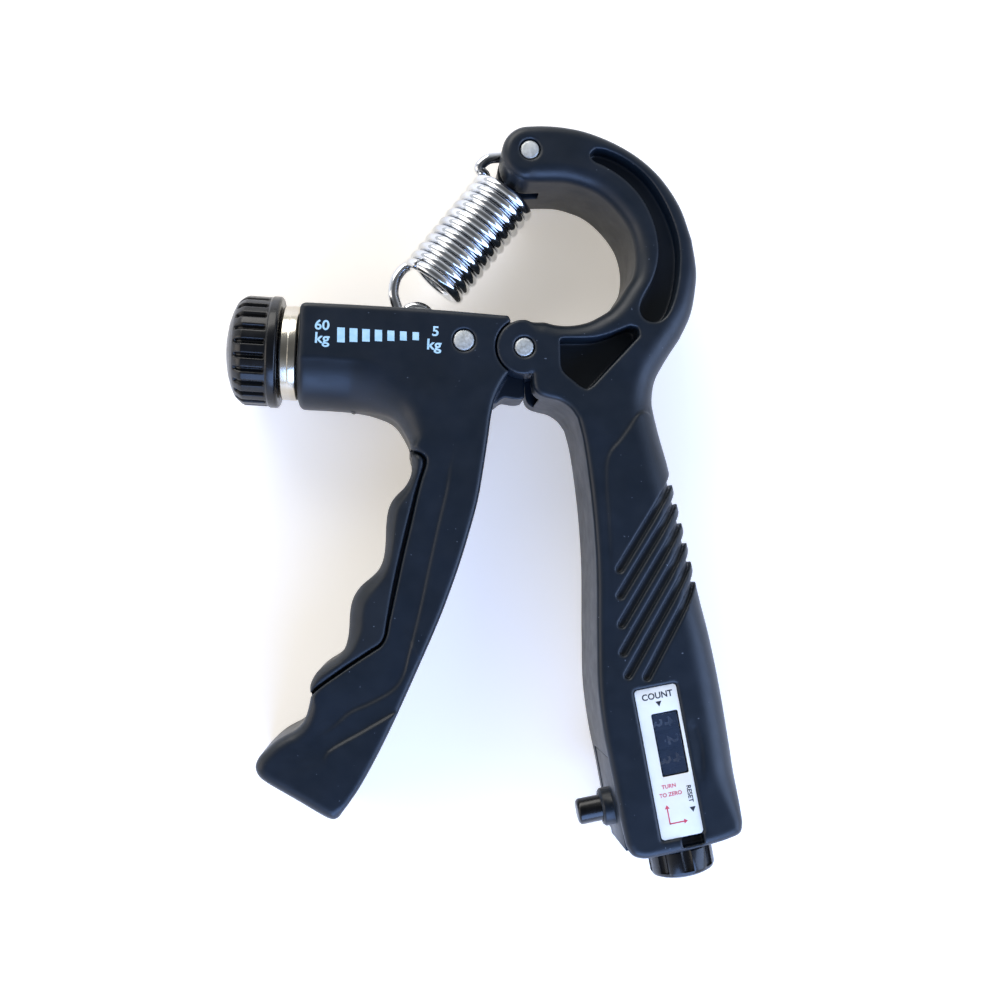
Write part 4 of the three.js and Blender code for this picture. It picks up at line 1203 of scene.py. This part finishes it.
def numerals(name, v_centre, shown, body):
    groups = []
    for digit in range(10):
        points, faces = text_shape(str(digit), 2.9)
        turn_to = math.radians(36 * (digit - shown)) + points[:, 1] / WHEEL_R
        r = WHEEL_R + 0.015
        u = SHAFT_U + r * np.sin(turn_to)
        z = SHAFT_Z + r * np.cos(turn_to)
        x, y = out_of(u, v_centre - points[:, 0], COUNTER, COUNTER_TURN)
        groups.append((np.stack([x, y, z], 1), faces))
    bm = gather(groups)
    mesh = bpy.data.meshes.new(name)
    bm.to_mesh(mesh)
    bm.free()
    piece = dress(bpy.data.objects.new(name, mesh), digit_ink, body)
    thick = piece.modifiers.new("ink", "SOLIDIFY")
    thick.thickness, thick.offset = 0.02 * MM, 0
    return piece


numerals("hundreds_numerals", 7.7, 3.3, "hundreds_wheel")
numerals("tens_numerals", 3.7, 1.3, "tens_wheel")
numerals("units_numerals", -0.3, 3.2, "units_wheel")
print("numerals wrapped")

# %% [markdown]
# ## Camera
# The tool lies on its back and is seen from 265 mm straight above a spot beside the
# lever, with the camera leaning a few degrees, so nearer edges grow and the walls of the
# pockets show on one side.

# %% Camera
camera_data = bpy.data.cameras.new("camera")
camera_data.lens, camera_data.sensor_width = 42.84, 36
camera_data.clip_start, camera_data.clip_end = 0.01, 10
camera = bpy.data.objects.new("camera", camera_data)
bpy.context.scene.collection.objects.link(camera)
lean = Vector((-93, -74, -1190)).normalized()
turn_to_lean = Vector((0, 0, -1)).rotation_difference(lean).to_matrix()
camera.matrix_world = Matrix.Translation(to_frame((-24.856, -48.345, 262.5))) @ \
    turn_to_lean.transposed().to_4x4()
bpy.context.scene.camera = camera
print("camera at", [round(c, 4) for c in camera.location])

# %% [markdown]
# ## Light
# Two broad cool lamps stand for windows, a soft one fills in from the far side, and a weak
# warm one stands for a wall. The room round them is pale at the sides and dark overhead, so
# glossy parts have something to reflect. The floor is plain and pale.

# %% Floor
floor_material, floor_shader = start_material("studio_floor", Roughness=0.9)
floor_shader.inputs["Base Color"].default_value = linear("#f4f4f4")
floor_shader.inputs["Emission Color"].default_value = linear("#fff6e8")
floor_shader.inputs["Emission Strength"].default_value = 0.42
mesh = bpy.data.meshes.new("floor")
size = 3.0
mesh.from_pydata([(-size, -size, -0.0004), (size, -size, -0.0004), (size, size, -0.0004),
                  (-size, size, -0.0004)], [], [(0, 1, 2, 3)])
floor = bpy.data.objects.new("floor", mesh)
bpy.context.scene.collection.objects.link(floor)
floor.data.materials.append(floor_material)


# %% Lamps
def lamp(name, at, aim, size, power, colour):
    """A soft rectangular lamp, placed and aimed in millimetres from the hinge."""
    data = bpy.data.lights.new(name, "AREA")
    data.shape, data.size, data.size_y = "RECTANGLE", size[0] * MM, size[1] * MM
    data.energy, data.color = power, linear(colour)[:3]
    light = bpy.data.objects.new(name, data)
    bpy.context.scene.collection.objects.link(light)
    light.location = to_frame(at)
    towards = Vector(to_frame(aim)) - light.location
    light.rotation_euler = towards.to_track_quat("-Z", "Y").to_euler()


lamp("cool_window_right", (430, -170, 240), (0, -30, 0), (420, 320), 2.2, "#a9c8ff")
lamp("cool_window_near", (60, -480, 230), (0, -30, 0), (460, 320), 3.2, "#8fb8ff")
lamp("far_soft", (-200, 420, 260), (0, -30, 0), (420, 300), 1.8, "#f6f3ee")
lamp("warm_wall", (-450, -60, 190), (0, -30, 0), (300, 300), 0.5, "#fff1e4")


# %% Room
def room(overhead, horizon):
    """A room that is dark overhead and pale at the walls."""
    world = bpy.data.worlds.new("room")
    bpy.context.scene.world = world
    world.use_nodes = True
    background = world.node_tree.nodes["Background"]
    where = add(world, "ShaderNodeTexCoord").outputs["Generated"]
    height = add(world, "ShaderNodeSeparateXYZ", None, {"Vector": where}).outputs["Z"]
    background.inputs["Color"].default_value = linear("#eef2f8")
    connect(world, remap(world, height, 0.25, 0.95, horizon, overhead),
            background.inputs["Strength"])


room(0.14, 1.0)
bpy.context.scene.view_settings.view_transform = "Standard"
print("lamps placed")
